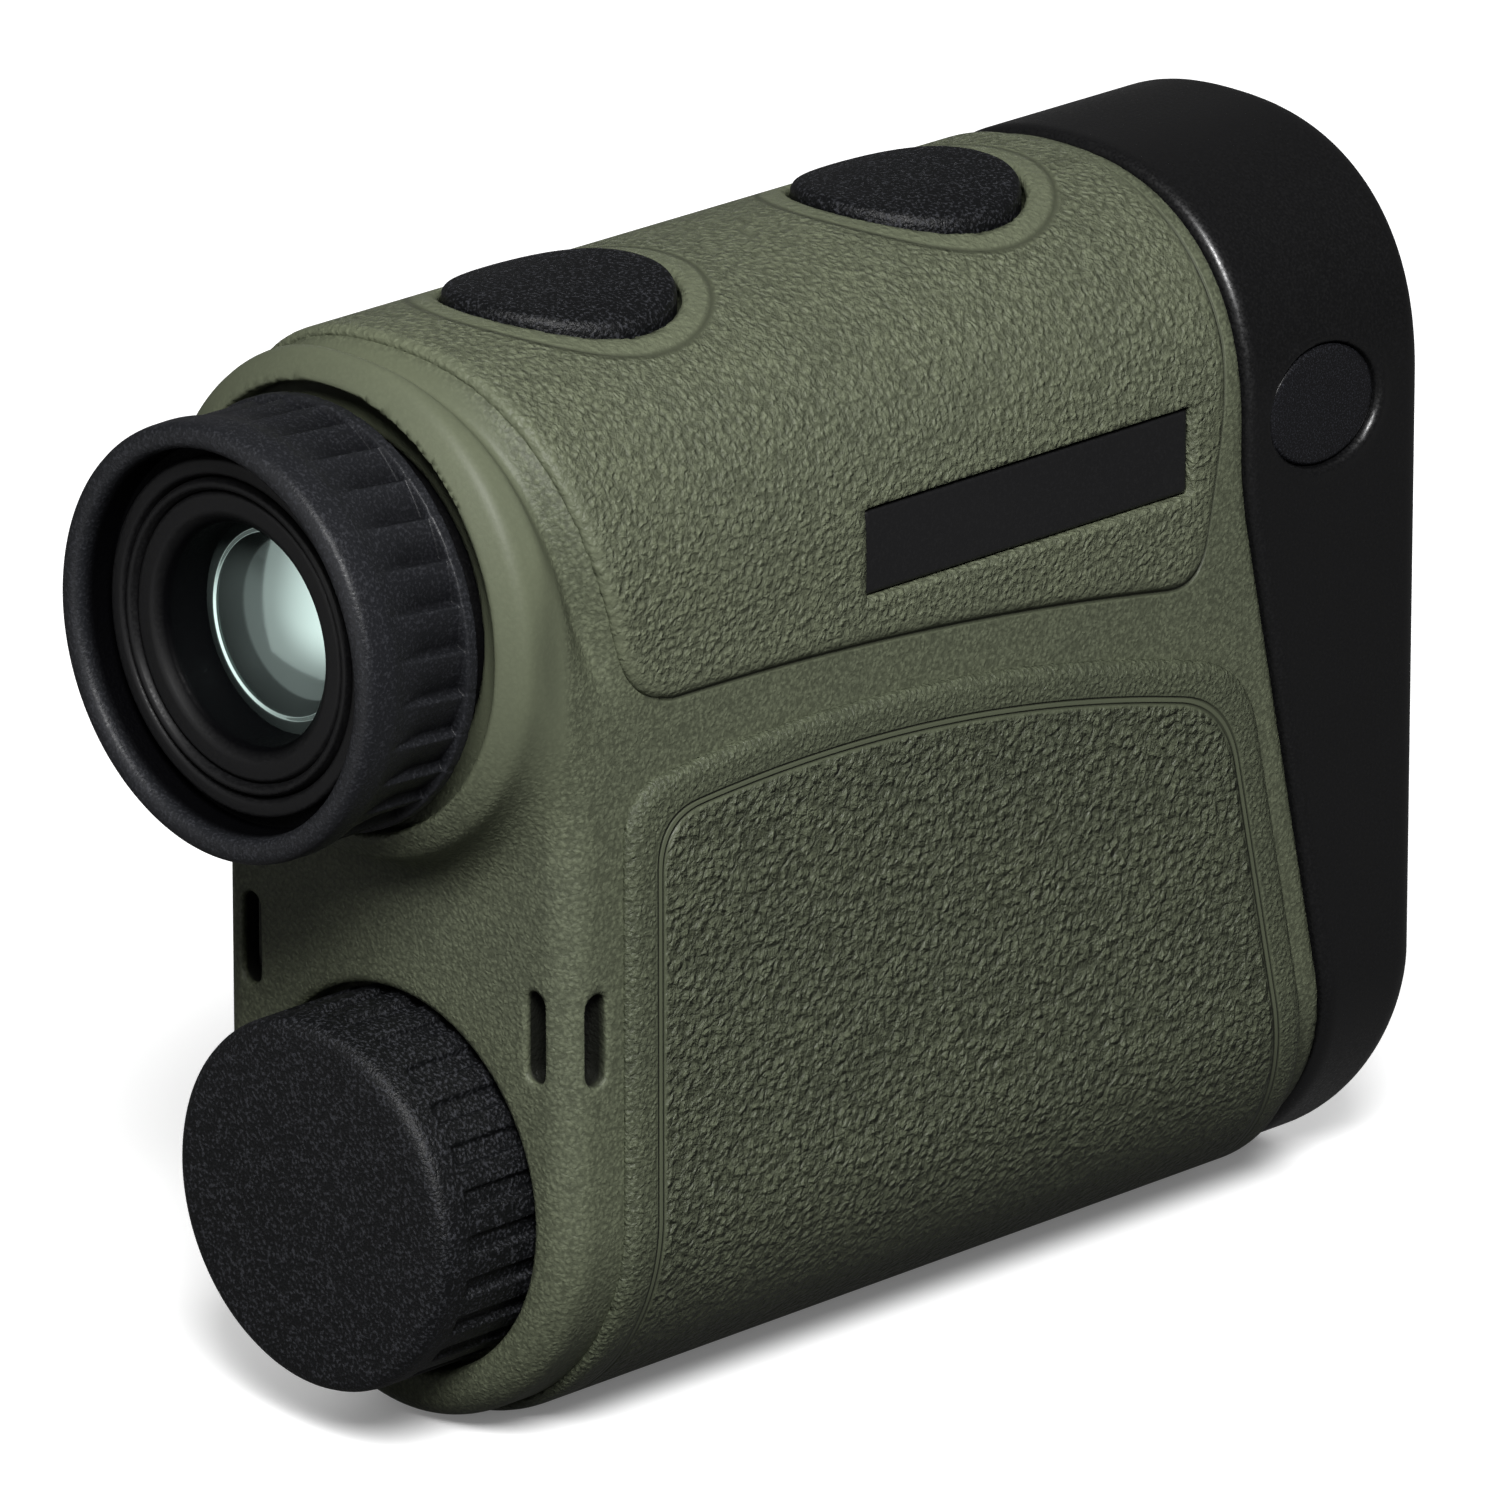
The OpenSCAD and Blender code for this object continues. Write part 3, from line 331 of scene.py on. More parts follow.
def olive(name, cell_mm, height_mm, shade, tint, roughness, line_mm, depth_mm, twin_mm=0.0, inner_mm=None,
          inner_height_mm=0.0):
    """Leather-like grain over a softly uneven olive, with painted light and shade in its colour. Three
    numbers on the mesh steer it. "line" is the distance in millimetres to a pressed line, and where it is
    below 0 the inner grain takes over, if there is one. "grain" scales the relief. Where the third number is
    1, the colour is painted a near-black olive, as painted shade deep in a recess."""
    made, tree, shader, place = start(name, IOR=1.5, Specular_IOR_Level=0.25, Roughness=roughness)
    signed = add(tree, "ShaderNodeAttribute", attribute_name="line").outputs["Fac"]
    amount = add(tree, "ShaderNodeAttribute", attribute_name="grain").outputs["Fac"]
    painted_shade = add(tree, "ShaderNodeAttribute", attribute_name="painted_shade").outputs["Fac"]
    pressed, apart = pressed_line(tree, signed, line_mm, twin_mm)
    relief, tall = grain(tree, place, cell_mm, height_mm)
    if inner_mm:
        inner_relief, inner_tall = grain(tree, place, inner_mm, inner_height_mm)
        inside = add(tree, "ShaderNodeMapRange", {"Value": signed, "From Min": -2 * twin_mm,
                                                  "From Max": -2 * twin_mm - GRAIN_CHANGE_MM}).outputs[0]
        tall = add(tree, "ShaderNodeMix", {"Factor": inside, 2: tall, 3: inner_tall}).outputs[0]
        relief = add(tree, "ShaderNodeMix", {"Factor": inside, 2: relief, 3: inner_relief}).outputs[0]
    off_line = add(tree, "ShaderNodeMapRange", {"Value": apart, "From Min": 0.0, "From Max": CALM_MM})
    scale = add(tree, "ShaderNodeMath", {0: amount, 1: off_line.outputs[0]}, operation="MULTIPLY")
    surface = add(tree, "ShaderNodeMath", {0: tall, 1: scale.outputs[0]}, operation="MULTIPLY")
    surface = add(tree, "ShaderNodeMath", {0: pressed, 1: depth_mm * MM, 2: surface.outputs[0]},
                  operation="MULTIPLY_ADD")
    lift = add(tree, "ShaderNodeBump", {"Height": surface.outputs[0], "Distance": 1.0, "Strength": 1.0})
    tree.links.new(lift.outputs[0], shader.inputs["Normal"])

    # The coat drifts between two olives. Painted shade darkens the valleys of the grain and the pressed
    # lines, and painted light brightens the tops of the grain.
    drift = add(tree, "ShaderNodeTexNoise", {"Vector": place, "Scale": per_metre(DRIFT_MM), "Detail": 2.0})
    colour = add(tree, "ShaderNodeMix", {"Factor": drift.outputs["Fac"], 6: linear(shade), 7: linear(tint)},
                 data_type="RGBA")
    painted_grain_shading = add(tree, "ShaderNodeMapRange", {"Value": relief, "From Min": 0.2, "From Max": 0.8,
                                              "To Min": 0.62, "To Max": 1.2})
    painted_grain_shading = add(tree, "ShaderNodeMix", {"Factor": scale.outputs[0], 2: 1.0, 3: painted_grain_shading.outputs[0]})
    crease = add(tree, "ShaderNodeMapRange", {"Value": pressed, "To Min": 0.5, "To Max": 1.0})
    both = add(tree, "ShaderNodeMath", {0: painted_grain_shading.outputs[0], 1: crease.outputs[0]}, operation="MULTIPLY")
    shaded = add(tree, "ShaderNodeMix", {"Factor": 1.0, 6: colour.outputs[2], 7: both.outputs[0]},
                 data_type="RGBA", blend_type="MULTIPLY")
    # Painted shade: where the third number on the mesh is 1, the colour becomes a near-black olive.
    painted = add(tree, "ShaderNodeMix", {"Factor": painted_shade, 6: shaded.outputs[2], 7: linear(PAINTED_SHADE_OLIVE)},
                  data_type="RGBA")
    tree.links.new(painted.outputs[2], shader.inputs["Base Color"])
    return made


# Spark erosion leaves ABS with a fine even grain, so it looks matt and its edges stay crisp.
housing_finish = olive("olive_abs_spark_eroded", 0.34, 0.06, "#575c4b", "#5f6450", 0.5, 0.24, 0.25)
# An elastomer takes a leather grain from its mould. It looks soft, and a little glossier than the ABS.
armour_finish = olive("olive_elastomer_leather", 0.52, 0.28, "#5d6250", "#656a55", 0.46, 0.4, 0.06)
# The grip's coarse pebbles get painted light on their tops and painted shade between.
grip_finish = olive("olive_elastomer_pebbled", 0.38, 0.16, "#505545", "#585d4a", 0.42, 0.13, 0.1,
                    twin_mm=0.22, inner_mm=0.66, inner_height_mm=0.5)
print("olive finishes:", housing_finish.name, armour_finish.name, grip_finish.name)

# %% [markdown]
# ### Black rubber, black polymer and anodised metal
# The eyecup, cap and buttons are near-black rubber from a blasted mould, and the highest grains of their
# fine grit are painted lighter, as painted glints. The bezel is a satin black polymer. The eyepiece's rings
# are black anodised aluminium, which is duller than rubber because it has to kill stray light. Real grit is
# nearer 0.1 mm, and it is drawn at twice that, so that it still shows when the whole object is in view.

# %% Black finishes
BROAD_MM = 7
PAINTED_SHADE_BLACK = "#040405"
PAINTED_SHADE_GLOSS = 0.03


def gritty(name, colour, high, grit_mm, height_mm, roughness, glint="#2a2b30", gloss=0.25):
    """Near-black moulded surface with a fine grit whose highest grains are painted lighter, as painted
    glints.
    Where the mesh's number for painted shade is 1, it is painted dull and black, as shade in a tube or
    hollow."""
    made, tree, shader, place = start(name, IOR=1.5, Specular_IOR_Level=gloss)
    fine = add(tree, "ShaderNodeTexNoise", {"Vector": place, "Scale": per_metre(grit_mm), "Detail": 3.0})
    broad = add(tree, "ShaderNodeTexNoise", {"Vector": place, "Scale": per_metre(BROAD_MM), "Detail": 2.0})
    tone = add(tree, "ShaderNodeMix", {"Factor": broad.outputs["Fac"], 6: linear(colour), 7: linear(high)},
               data_type="RGBA")
    # Painted highlight: the highest grains of the grit are painted lighter, as glints.
    peak = add(tree, "ShaderNodeMapRange", {"Value": fine.outputs["Fac"], "From Min": 0.52, "From Max": 0.66})
    painted_glints = add(tree, "ShaderNodeMix", {"Factor": peak.outputs[0], 6: tone.outputs[2], 7: linear(glint)},
               data_type="RGBA")
    # Painted shade: where the mesh's number for painted shade is 1, the colour is near-black and the shine
    # dulled.
    painted_shade = add(tree, "ShaderNodeAttribute", attribute_name="painted_shade").outputs["Fac"]
    dulled = add(tree, "ShaderNodeMix", {"Factor": painted_shade, 6: painted_glints.outputs[2], 7: linear(PAINTED_SHADE_BLACK)},
                 data_type="RGBA")
    tree.links.new(dulled.outputs[2], shader.inputs["Base Color"])
    shine = add(tree, "ShaderNodeMapRange", {"Value": painted_shade, "To Min": gloss, "To Max": PAINTED_SHADE_GLOSS})
    tree.links.new(shine.outputs[0], shader.inputs["Specular IOR Level"])
    rough = add(tree, "ShaderNodeMapRange", {"Value": fine.outputs["Fac"], "From Min": 0.35, "From Max": 0.65,
                                             "To Min": roughness - 0.1, "To Max": roughness + 0.1})
    tree.links.new(rough.outputs[0], shader.inputs["Roughness"])
    lift = add(tree, "ShaderNodeBump", {"Height": fine.outputs["Fac"], "Distance": height_mm * MM,
                                        "Strength": 1.0})
    tree.links.new(lift.outputs[0], shader.inputs["Normal"])
    return made


# On rubber the highest grains are painted lighter, as painted glints; on the moulded cap and buttons the
# grit is taller than on the eyecup.
rubber_finish = gritty("black_rubber_eyecup", "#16171a", "#1d1e21", 0.22, 0.05, 0.48, glint="#2a2b2f")
cap_finish = gritty("black_rubber_grit", "#08090a", "#0d0e10", 0.24, 0.12, 0.5, glint="#2f3034")
button_finish = gritty("black_rubber_button", "#08090a", "#0d0e10", 0.24, 0.12, 0.48, glint="#2f3034")
# Polycarbonate from a fine-blasted mould has a satin sheen, and is smoother still on the plate and badge.
bezel_finish = gritty("satin_black_polycarbonate", "#0a0a0b", "#0d0d0e", 0.2, 0.004, 0.36, glint="#0e0e0f",
                      gloss=0.5)
plate_finish = gritty("black_polymer_plate", "#171718", "#1b1b1c", 0.2, 0.006, 0.4, glint="#1c1c1d")
badge_finish = gritty("black_polymer_badge", "#111112", "#17171a", 0.12, 0.004, 0.3)
# The dyed oxide layer hides the metal under it, so it is given as a dull black coat.
anodised_finish = gritty("black_anodised_aluminium", "#09090a", "#0e0e0f", 0.2, 0.006, 0.5, glint="#101011",
                         gloss=0.2)
print("black finishes:", rubber_finish.name, cap_finish.name, button_finish.name, bezel_finish.name,
      plate_finish.name, badge_finish.name, anodised_finish.name)

# %% [markdown]
# ### Coated glass, and finishes for inner pieces
# The eye lens carries a broadband coating, and what it reflects of a white room is mint green. Such a
# coating is a thin mirror for one part of the light, so the lens is given as a tinted metal, and its
# reflection is much stronger than bare glass gives. The inner pieces are seldom seen, and get the plain
# look of their kind.

# %% Glass, laminate, sleeve and steel
lens_finish = start("coated_lens_glass", Base_Color=linear("#cfe6e0"), Metallic=0.9, Roughness=0.09,
                    IOR=1.5)[0]
# Uncoated prisms are clear, with the faint green of crown glass.
glass_finish = start("prism_glass", Base_Color=linear("#d8e6e4"), Transmission_Weight=1.0, Roughness=0.02,
                     IOR=1.52)[0]
# Rolled spring steel is a soft grey mirror.
steel_finish = start("spring_steel", Base_Color=linear("#9a9c9e"), Metallic=1.0, Roughness=0.35)[0]
# The weave of the laminate shows through its lacquer, and the cell's sleeve is a shrunk film.
board_finish = gritty("green_circuit_laminate", "#1e5a36", "#2a6b44", 0.4, 0.01, 0.4)
cell_finish = gritty("battery_can_sleeve", "#2c4f80", "#38608f", 0.5, 0.005, 0.35)
print("other finishes:", lens_finish.name, glass_finish.name, steel_finish.name, board_finish.name,
      cell_finish.name)

# %% [markdown]
# ## The housing
# Seen from behind the housing is an upright stadium: two half rounds joined by flat flanks. Its rear rim
# has a flat chamfer. A round collar stands out from the rear face around the eyepiece, with a sloping
# face, and a wide fillet runs from it down to the rear face. The front ends on the shut line: upright at
# the top, curving and then leaning forwards towards the foot. Strap slots turn the rear corners on both
# sides.

# %% Section and shut line
SHOULDER_POWER = 2.35
FOOT_POWER = 1.92
BEZEL_FOOT_POWER = 1.76
SHUT_Y = 31.1
SHUT_Z = EYE_Z - 0.7
SHUT_CURVE_R = 30.0
SHUT_LEAN = np.radians(12.1)


def off_band(x, z, radius, foot=FOOT_POWER):
    """How far a point lies outside the upright stadium of that radius. Its ends aren't quite half rounds:
    a power a little over 2 fills the shoulders, and one a little under 2 slims the foot."""
    up = np.abs(z - np.clip(z, CAP_Z, EYE_Z)) + 1e-6
    power = np.where(z > EYE_Z, SHOULDER_POWER, foot)
    return ((np.abs(x) + 1e-6) ** power + up**power) ** (1 / power) - radius


def off_shut(y, z):
    """How far a point lies behind the shut line: a plane above, an arc, then a leaning plane below."""
    along, up = y - SHUT_Y - SHUT_CURVE_R, z - SHUT_Z
    arc = np.hypot(along, up) - SHUT_CURVE_R
    straight = -along * np.cos(SHUT_LEAN) - up * np.sin(SHUT_LEAN) - SHUT_CURVE_R
    below = along * np.sin(SHUT_LEAN) - up * np.cos(SHUT_LEAN) > 0
    return np.where(up > 0, SHUT_Y - y, np.where(below, straight, arc))


foot_ahead = float(off_shut(SHUT_Y, 0.0)) / np.cos(SHUT_LEAN)
print(f"the shut line is at y = {SHUT_Y} above, and {foot_ahead:.1f} mm further forward at the foot")

# %% [markdown]
# The armour and the grip are outlines in the side view, wrapped over the band. Each outline is the
# overlap of a few half planes with gently curved edges, and the soft maximum rounds its corners. An edge is
# written as its place, its slope and its bend, in millimetres from the eyecup's lip and the eye axis.

# %% Outlines in the side view
def off_armour(y, z):
    """How far a point lies outside the armour's outline. Its lower edge falls forwards along a parabola,
    its rear edge leans back a little towards the top and its front edge is bowed."""
    along, up = y - LIP_Y, z - EYE_Z
    low = -5.53 + 0.006 * (along - 22.9) - 0.00169 * (along - 22.9) ** 2 - up
    rear = (19.8 - 0.30 * up + 0.004 * up**2 - along) * 0.96
    front = along - np.minimum(77.9, 77.0 + 0.16 * up - 0.0035 * up**2)
    return meet(meet(low, rear, 4.0), front, 3.3)


def off_grip(y, z):
    """How far a point lies outside the grip's outline. Its rear edge is upright, its top edge is a
    shallow arch and its front edge keeps 2.2 mm from the shut line."""
    along, up = y - LIP_Y, z - EYE_Z
    top = up + 9.62 + 0.0038 * (along - 38) ** 2
    return meet(meet(20.5 - along, top, 3.7), 2.2 - off_shut(y, z), 4.2)


def off_box(y, z, node, grow):
    """How far a point lies outside a node's rectangle in the side view, grown by a margin."""
    low, high = span(node)
    across = np.abs(y - (low[1] + high[1]) / 2) - (high[1] - low[1]) / 2
    return np.maximum(across, np.abs(z - (low[2] + high[2]) / 2) - (high[2] - low[2]) / 2) - grow


def off_oval(y, z):
    """How far a point lies outside the badge's oval in the side view, near its edge."""
    low, high = span("badge_disc")
    half = (high - low) / 2
    across, up = y - (low[1] + half[1]), z - (low[2] + half[2])
    return (np.hypot(across / half[1], up / half[2]) - 1) * (half[1] + half[2]) / 2


gap = off_armour(0.0, EYE_Z - 9) + off_grip(0.0, EYE_Z - 9)
print(f"armour and grip lie {gap:.1f} mm apart at mid length")

# %% [markdown]
# ### Openings of the housing
# The eyepiece's mouth and the cap's recess are round holes from behind. The buttons stand in round wells.
# Each strap slot is upright and goes in from the rear face, where it meets a second one that comes from
# the side.

# %% Openings
MOUTH_R, MOUTH_END_Y = span("eyecup")[1][0] + 0.3, LIP_Y + 12.6
BORE_R, BORE_END_Y = 12.25, LIP_Y + 26.5
RECESS_R, RECESS_END_Y = 13.35, REAR_Y + 2.6
NECK_R, NECK_END_Y = 9.4, REAR_Y + 6.7
BUTTON_Y = [middle("menu_button")[1], middle("measure_button")[1]]
BUTTON_R = (span("menu_button")[1][1] - span("menu_button")[0][1]) / 2
WELL_R, WELL_Z = BUTTON_R + 0.3, EYE_Z + 14.6
STEM_HOLE_R, STEM_HOLE_L = 2.4, 3
PLATE_SEAT_X = 16.2
SLOT_X, SLOT_Z, SLOT_R, SLOT_HALF = 13.65, CAP_Z + 13.5, 0.9, 2.35
SLOT_SIDE_Y, SLOT_SIDE_X, SLOT_DEEP_Y = REAR_Y + 2.6, 12.8, REAR_Y + 3.5


def off_wells(x, y, z, radius):
    """How far a point lies outside the upright wells of the two buttons."""
    return np.minimum(*(np.hypot(x, y - at) for at in BUTTON_Y)) - radius + 0 * z


def round_hole(x, y, z, axis_z, radius, end_y):
    """How far a point lies outside a round hole that comes from behind and ends at end_y."""
    return np.maximum(np.hypot(x, z - axis_z) - radius, y - end_y)


def strap_passage(x, y, z):
    """An upright slot from the rear face that meets a second one from the side, on both sides."""
    up = z - np.clip(z, SLOT_Z - SLOT_HALF, SLOT_Z + SLOT_HALF)
    from_rear = np.maximum(np.hypot(np.abs(x) - SLOT_X, up) - SLOT_R, y - SLOT_DEEP_Y)
    from_side = np.maximum(np.hypot(y - SLOT_SIDE_Y, up) - SLOT_R, SLOT_SIDE_X - np.abs(x))
    return np.minimum(from_rear, from_side)


def housing_holes(x, y, z):
    """All openings of the housing, each with the width of the round on its edge."""
    mouth = round_hole(x, y, z, EYE_Z, MOUTH_R, MOUTH_END_Y)
    bore = round_hole(x, y, z, EYE_Z, BORE_R, BORE_END_Y)
    neck = round_hole(x, y, z, CAP_Z, NECK_R, NECK_END_Y)
    recess = round_hole(x, y, z, CAP_Z, RECESS_R, RECESS_END_Y)
    wells = np.maximum(off_wells(x, y, z, WELL_R + 0.25), WELL_Z - 0.15 - z)
    stems = np.maximum(off_wells(x, y, z, STEM_HOLE_R), WELL_Z - STEM_HOLE_L - z)
    plate_seat = np.maximum(off_box(y, z, "side_plate", 0.5), PLATE_SEAT_X - x)
    return [(mouth, 0.5), (np.minimum(bore, neck), 0.3), (recess, 0.7), (strap_passage(x, y, z), 0.3),
            (wells, 0.3), (stems, 0.3), (plate_seat, 0.2)]


print(f"mouth radius {MOUTH_R:.2f}, button radius {BUTTON_R:.2f}, {BUTTON_Y[1] - BUTTON_Y[0]:.1f} mm apart")

# %% [markdown]
# ### Outside of the housing
# The band, the chamfered rim and the collar are joined into one soft solid. A shallow valley runs over
# the top between the collar and the armour's rear edge. A tongue reaches forwards under the bezel, so
# that no light shows through the shut line.

# %% Housing field
CHAMFER = 1.5
COLLAR_PROUD, SHUT_PROUD = 0.4, 0.3
COLLAR_R = BAND_R + COLLAR_PROUD
SLOPE_IN, SLOPE_BACK = 2.2, 1.5
FILLET = 4.0
VALLEY_DEEP = 1.4
SHUT_GAP = 0.15


def valley(y, z):
    """0 to 1 across the valley: a bell about a line 1.7 mm outside the armour, only behind and above."""
    near = bump(off_armour(y, z) - 1.7, 1.2)
    return near * (1 - ease(y, REAR_Y + 4, REAR_Y + 8)) * ease(z, EYE_Z - 6, EYE_Z + 2)


def rim(side, rear):
    """The chamfer of the rear rim: a plane at 45 degrees to flank and rear face."""
    return (side + rear + CHAMFER) / np.sqrt(2)


def collar_field(x, y, z):
    """Round boss about the eye axis, with a sloping face, up to 3 mm inside the rear face."""
    eye = np.hypot(x, z - EYE_Z) - COLLAR_R
    slope = ((eye + SLOPE_IN) * SLOPE_BACK - (y - COLLAR_Y) * SLOPE_IN) / np.hypot(SLOPE_IN, SLOPE_BACK)
    boss = meet(meet(eye, COLLAR_Y - y, 0.5), slope, 0.6)
    return np.maximum(boss, y - REAR_Y - 3)


def housing_field(x, y, z):
    """Band with a chamfered rear rim, filleted collar, openings, shut line and tongue, flat at z = 0."""
    foot = BEZEL_FOOT_POWER + (FOOT_POWER - BEZEL_FOOT_POWER) * ease(FRONT_Y - y, 14, 30)
    side = off_band(x, z, BAND_R, foot) + VALLEY_DEEP * valley(y, z)
    behind = off_shut(y, z)
    proud = COLLAR_PROUD * (1 - ease(y, REAR_Y - 3.6, REAR_Y - 0.6))
    proud = proud + SHUT_PROUD * (1 - ease(behind, 0.2, 2.4))
    solid = meet(meet(side, REAR_Y - y, 1.0), rim(side, REAR_Y - y), 0.8)
    solid = meet(join(solid, collar_field(x, y, z), FILLET), side - proud, 0.2)
    for hole, width in housing_holes(x, y, z):
        solid = cut(solid, hole, width)
    solid = meet(solid, SHUT_GAP - behind, 0.5)
    tongue = np.maximum(side + 0.9, np.abs(behind) - 2.2)
    return np.maximum(np.minimum(solid, tongue), -z)


# %% Housing skin
wide = steps((-18.1, -15.4, 0.45), (-15.4, -12.2, 0.22), (-12.2, 12.2, 0.48), (12.2, 15.4, 0.22),
             (15.4, 18.1, 0.45))
tall = steps((-0.5, EYE_Z + 18.4, 0.48))
long = steps((-38.8, -34, 0.36), (-34, -28.5, 0.22), (-28.5, 25, 1.2), (25, 46, 0.42))
vertex, faces = skin(housing_field, [wide, long, tall])
housing = put("housing_skin", vertex, faces, "body", ["housing"], housing_finish)

# %% [markdown]
# The housing's numbers come from the same fields. A line is pressed beside the armour's edge, except
# where the collar meets it. The grain fades on the upper rear face. Inside the strap slots, points that
# lie deeper than the skin are painted a near-black olive, as painted shade.

# %% Numbers on the housing
x, y, z = vertex.T
at_collar = ease(z, EYE_Z - 8, EYE_Z - 2) * (1 - ease(y, REAR_Y + 6, REAR_Y + 9))
note(housing, "line", off_armour(y, z) - 0.12 + 5 * at_collar)
upper_rear = ease(REAR_Y - y, -0.5, 0.6) * ease(z, EYE_Z - 14, EYE_Z - 4)
note(housing, "grain", 1 - 0.85 * upper_rear)
side, rear = off_band(x, z, BAND_R), REAR_Y - y
below_skin = -np.maximum(np.maximum(side, rear), rim(side, rear))
# Painted shade: points deep inside the strap slots are painted near-black.
note(housing, "painted_shade", ease(below_skin, 0.25, 0.6) * (strap_passage(x, y, z) < 0.2))
print("points inside the strap slots:", int(((below_skin > 0.6) & (strap_passage(x, y, z) < 0.2)).sum()))

# %% [markdown]
# ## Armour and grip
# Both are skins wrapped over the band, cut out of a shell by their outline. The armour covers the top
# like a saddle and has holes for the buttons and the side plate; a shallow ring is pressed into it round
# each button. The grip wraps the flanks and the foot, and a double line pressed into it parts the coarse
# field from its border.

# %% Armour skin
RING_OFF = 2.3


def armour_field(x, y, z):
    """Thin saddle within the armour's outline, with holes for the buttons and the side plate."""
    side = off_band(x, z, ARMOUR_R)
    solid = meet(np.maximum(side, -1.1 - side), off_armour(y, z) + 0 * x, 0.9)
    solid = cut(solid, np.maximum(off_wells(x, y, z, WELL_R), EYE_Z - z), 0.5)
    return cut(solid, np.maximum(off_box(y, z, "side_plate", 0.12), -x), 0.25)


vertex, faces = skin(armour_field, [wide, steps((-34.5, 31, 0.42)), steps((EYE_Z - 12, EYE_Z + 18.4, 0.42))])
armour = put("armour_skin", vertex, faces, "body", ["upper_armour"], armour_finish)
note(armour, "line", off_wells(*vertex.T, BUTTON_R + RING_OFF))
in_ring = ease(-off_wells(*vertex.T, BUTTON_R + RING_OFF + 0.3), 0, 0.6) * (vertex[:, 2] > EYE_Z)
near_edge = ease(-off_armour(vertex[:, 1], vertex[:, 2]), 0.2, 1.6)
note(armour, "grain", (1 - 0.6 * in_ring) * (0.35 + 0.65 * near_edge))


# %% Grip skin
GRIP_R = span("grip_wrap")[1][0]
GRIP_BORDER = 2.8


def grip_field(x, y, z):
    """Thin wrap within the grip's outline, cut flat by the surface it stands on."""
    side = off_band(x, z, GRIP_R)
    solid = meet(np.maximum(side, -1.3 - side), off_grip(y, z) + 0 * x, 1.5)
    return np.maximum(solid, -z)


vertex, faces = skin(grip_field, [wide, steps((-29.5, -22, 0.36), (-22, 22, 0.8), (22, 42, 0.4)),
                                  steps((-0.5, EYE_Z - 8, 0.42))])
grip = put("grip_skin", vertex, faces, "body", ["grip_wrap"], grip_finish)
note(grip, "line", off_grip(vertex[:, 1], vertex[:, 2]) + GRIP_BORDER)
note(grip, "grain", np.ones(len(vertex)))

# %% [markdown]
# ## Bezel, badge and side plate
# The bezel stands a little proud of the band. Its rear edge follows the shut line and is rolled, its
# front edge is rounded, and an oval seat with a raised rim takes a blank badge. The plate is a blank slab
# that lies flush in the armour.

# %% Bezel skin
BEZEL_R = BAND_R + 0.4


def bezel_field(x, y, z):
    """Ring in front of the shut line with rounded edges, and an oval seat on its right side."""
    side = off_band(x, z, BEZEL_R, BEZEL_FOOT_POWER)
    oval = off_oval(y, z) + 0 * x
    side = side - 0.15 * bump(oval - 0.5, 0.45) * (x > 10)
    solid = meet(meet(side, y - FRONT_Y, 2.1), off_shut(y, z), 1.1)
    solid = meet(solid, BEZEL_R - 2.6 - off_band(x, z, 0, BEZEL_FOOT_POWER), 0.5)
    solid = cut(solid, np.maximum(oval - 0.1, BEZEL_R - 0.95 - x), 0.5)
    return np.maximum(solid, -z)


vertex, faces = skin(bezel_field, [steps((-18.1, 18.1, 0.36)), steps((30.5, 49, 0.3)),
                                   steps((-0.5, EYE_Z + 18.3, 0.36))])
put("bezel_skin", vertex, faces, "body", ["front_bezel"], bezel_finish)


# %% Badge and plate skins
def badge_field(x, y, z):
    """Blank oval disc with a rounded edge."""
    high = span("badge_disc")[1][0]
    return np.maximum(meet(off_oval(y, z) + 0 * x, x - high, 0.5), high - 0.65 - x)


def plate_field(x, y, z):
    """Blank slab with eased edges."""
    low, high = span("side_plate")
    return np.maximum(meet(off_box(y, z, "side_plate", 0) + 0 * x, x - high[0], 0.25), low[0] - x)


def planes_about(node, along_gap, up_gap):
    """Planes round a node's box: fine across the thickness of a thin disc or plate, and coarser along
    it."""
    low, high = span(node)
    return [steps((low[0] - 0.3, high[0] + 0.3, 0.1)), steps((low[1] - 0.4, high[1] + 0.4, along_gap)),
            steps((low[2] - 0.4, high[2] + 0.4, up_gap))]


vertex, faces = skin(badge_field, planes_about("badge_disc", 0.25, 0.25))
put("badge_blank", vertex, faces, "body", ["badge_disc"], badge_finish)
vertex, faces = skin(plate_field, planes_about("side_plate", 0.3, 0.2))
put("side_plate_blank", vertex, faces, "body", ["side_plate"], plate_finish)

# %% [markdown]
# ## Buttons
# Each button is a disc whose crown follows the armour's round, so from the side it looks like a drop. Its
# upper edge is rounded, and a stem goes down through the floor of the well to the plunger.

# %% Button skins
BUTTON_TOP = span("menu_button")[1][2]
CROWN_R = BUTTON_TOP - EYE_Z
STEM_R = 1.9
STEM_LOW = span("menu_button")[0][2] + 0.02


def button_field(y0):
    """Field of one button: an upright cylinder under a crown about the eye axis, and its stem."""
    def field(x, y, z):
        across = np.hypot(x, y - y0) + 0 * z
        crown = off_band(x, z, CROWN_R) + 0 * y
        disc = np.maximum(meet(across - BUTTON_R, crown, 0.8), WELL_Z + 0.65 - z)
        stem = np.maximum(np.maximum(across - STEM_R, STEM_LOW - z), z - WELL_Z - 2)
        return np.minimum(disc, stem)
    return field


for name, y0 in zip(("menu", "measure"), BUTTON_Y):
    vertex, faces = skin(button_field(y0), [steps((-8.2, 8.2, 0.24)), steps((y0 - 8.2, y0 + 8.2, 0.24)),
                                            steps((WELL_Z - 2, BUTTON_TOP + 0.5, 0.24))])
    put(f"{name}_button_skin", vertex, faces, f"{name}_key", [f"{name}_button"], button_finish)

# %% [markdown]
# ## Turned pieces
# The eyecup, the barrel, the lens cell, the lens and the battery cap are all turned. Each starts as an
# outline of corners, each with a radius, drawn in radius and depth behind the eyecup's lip. Corners
# become curves, straights get extra points, and the outline is swept round its axis. Flutes are a change
# of radius along and around the piece, which is simpler and smoother than cutting thirty grooves.

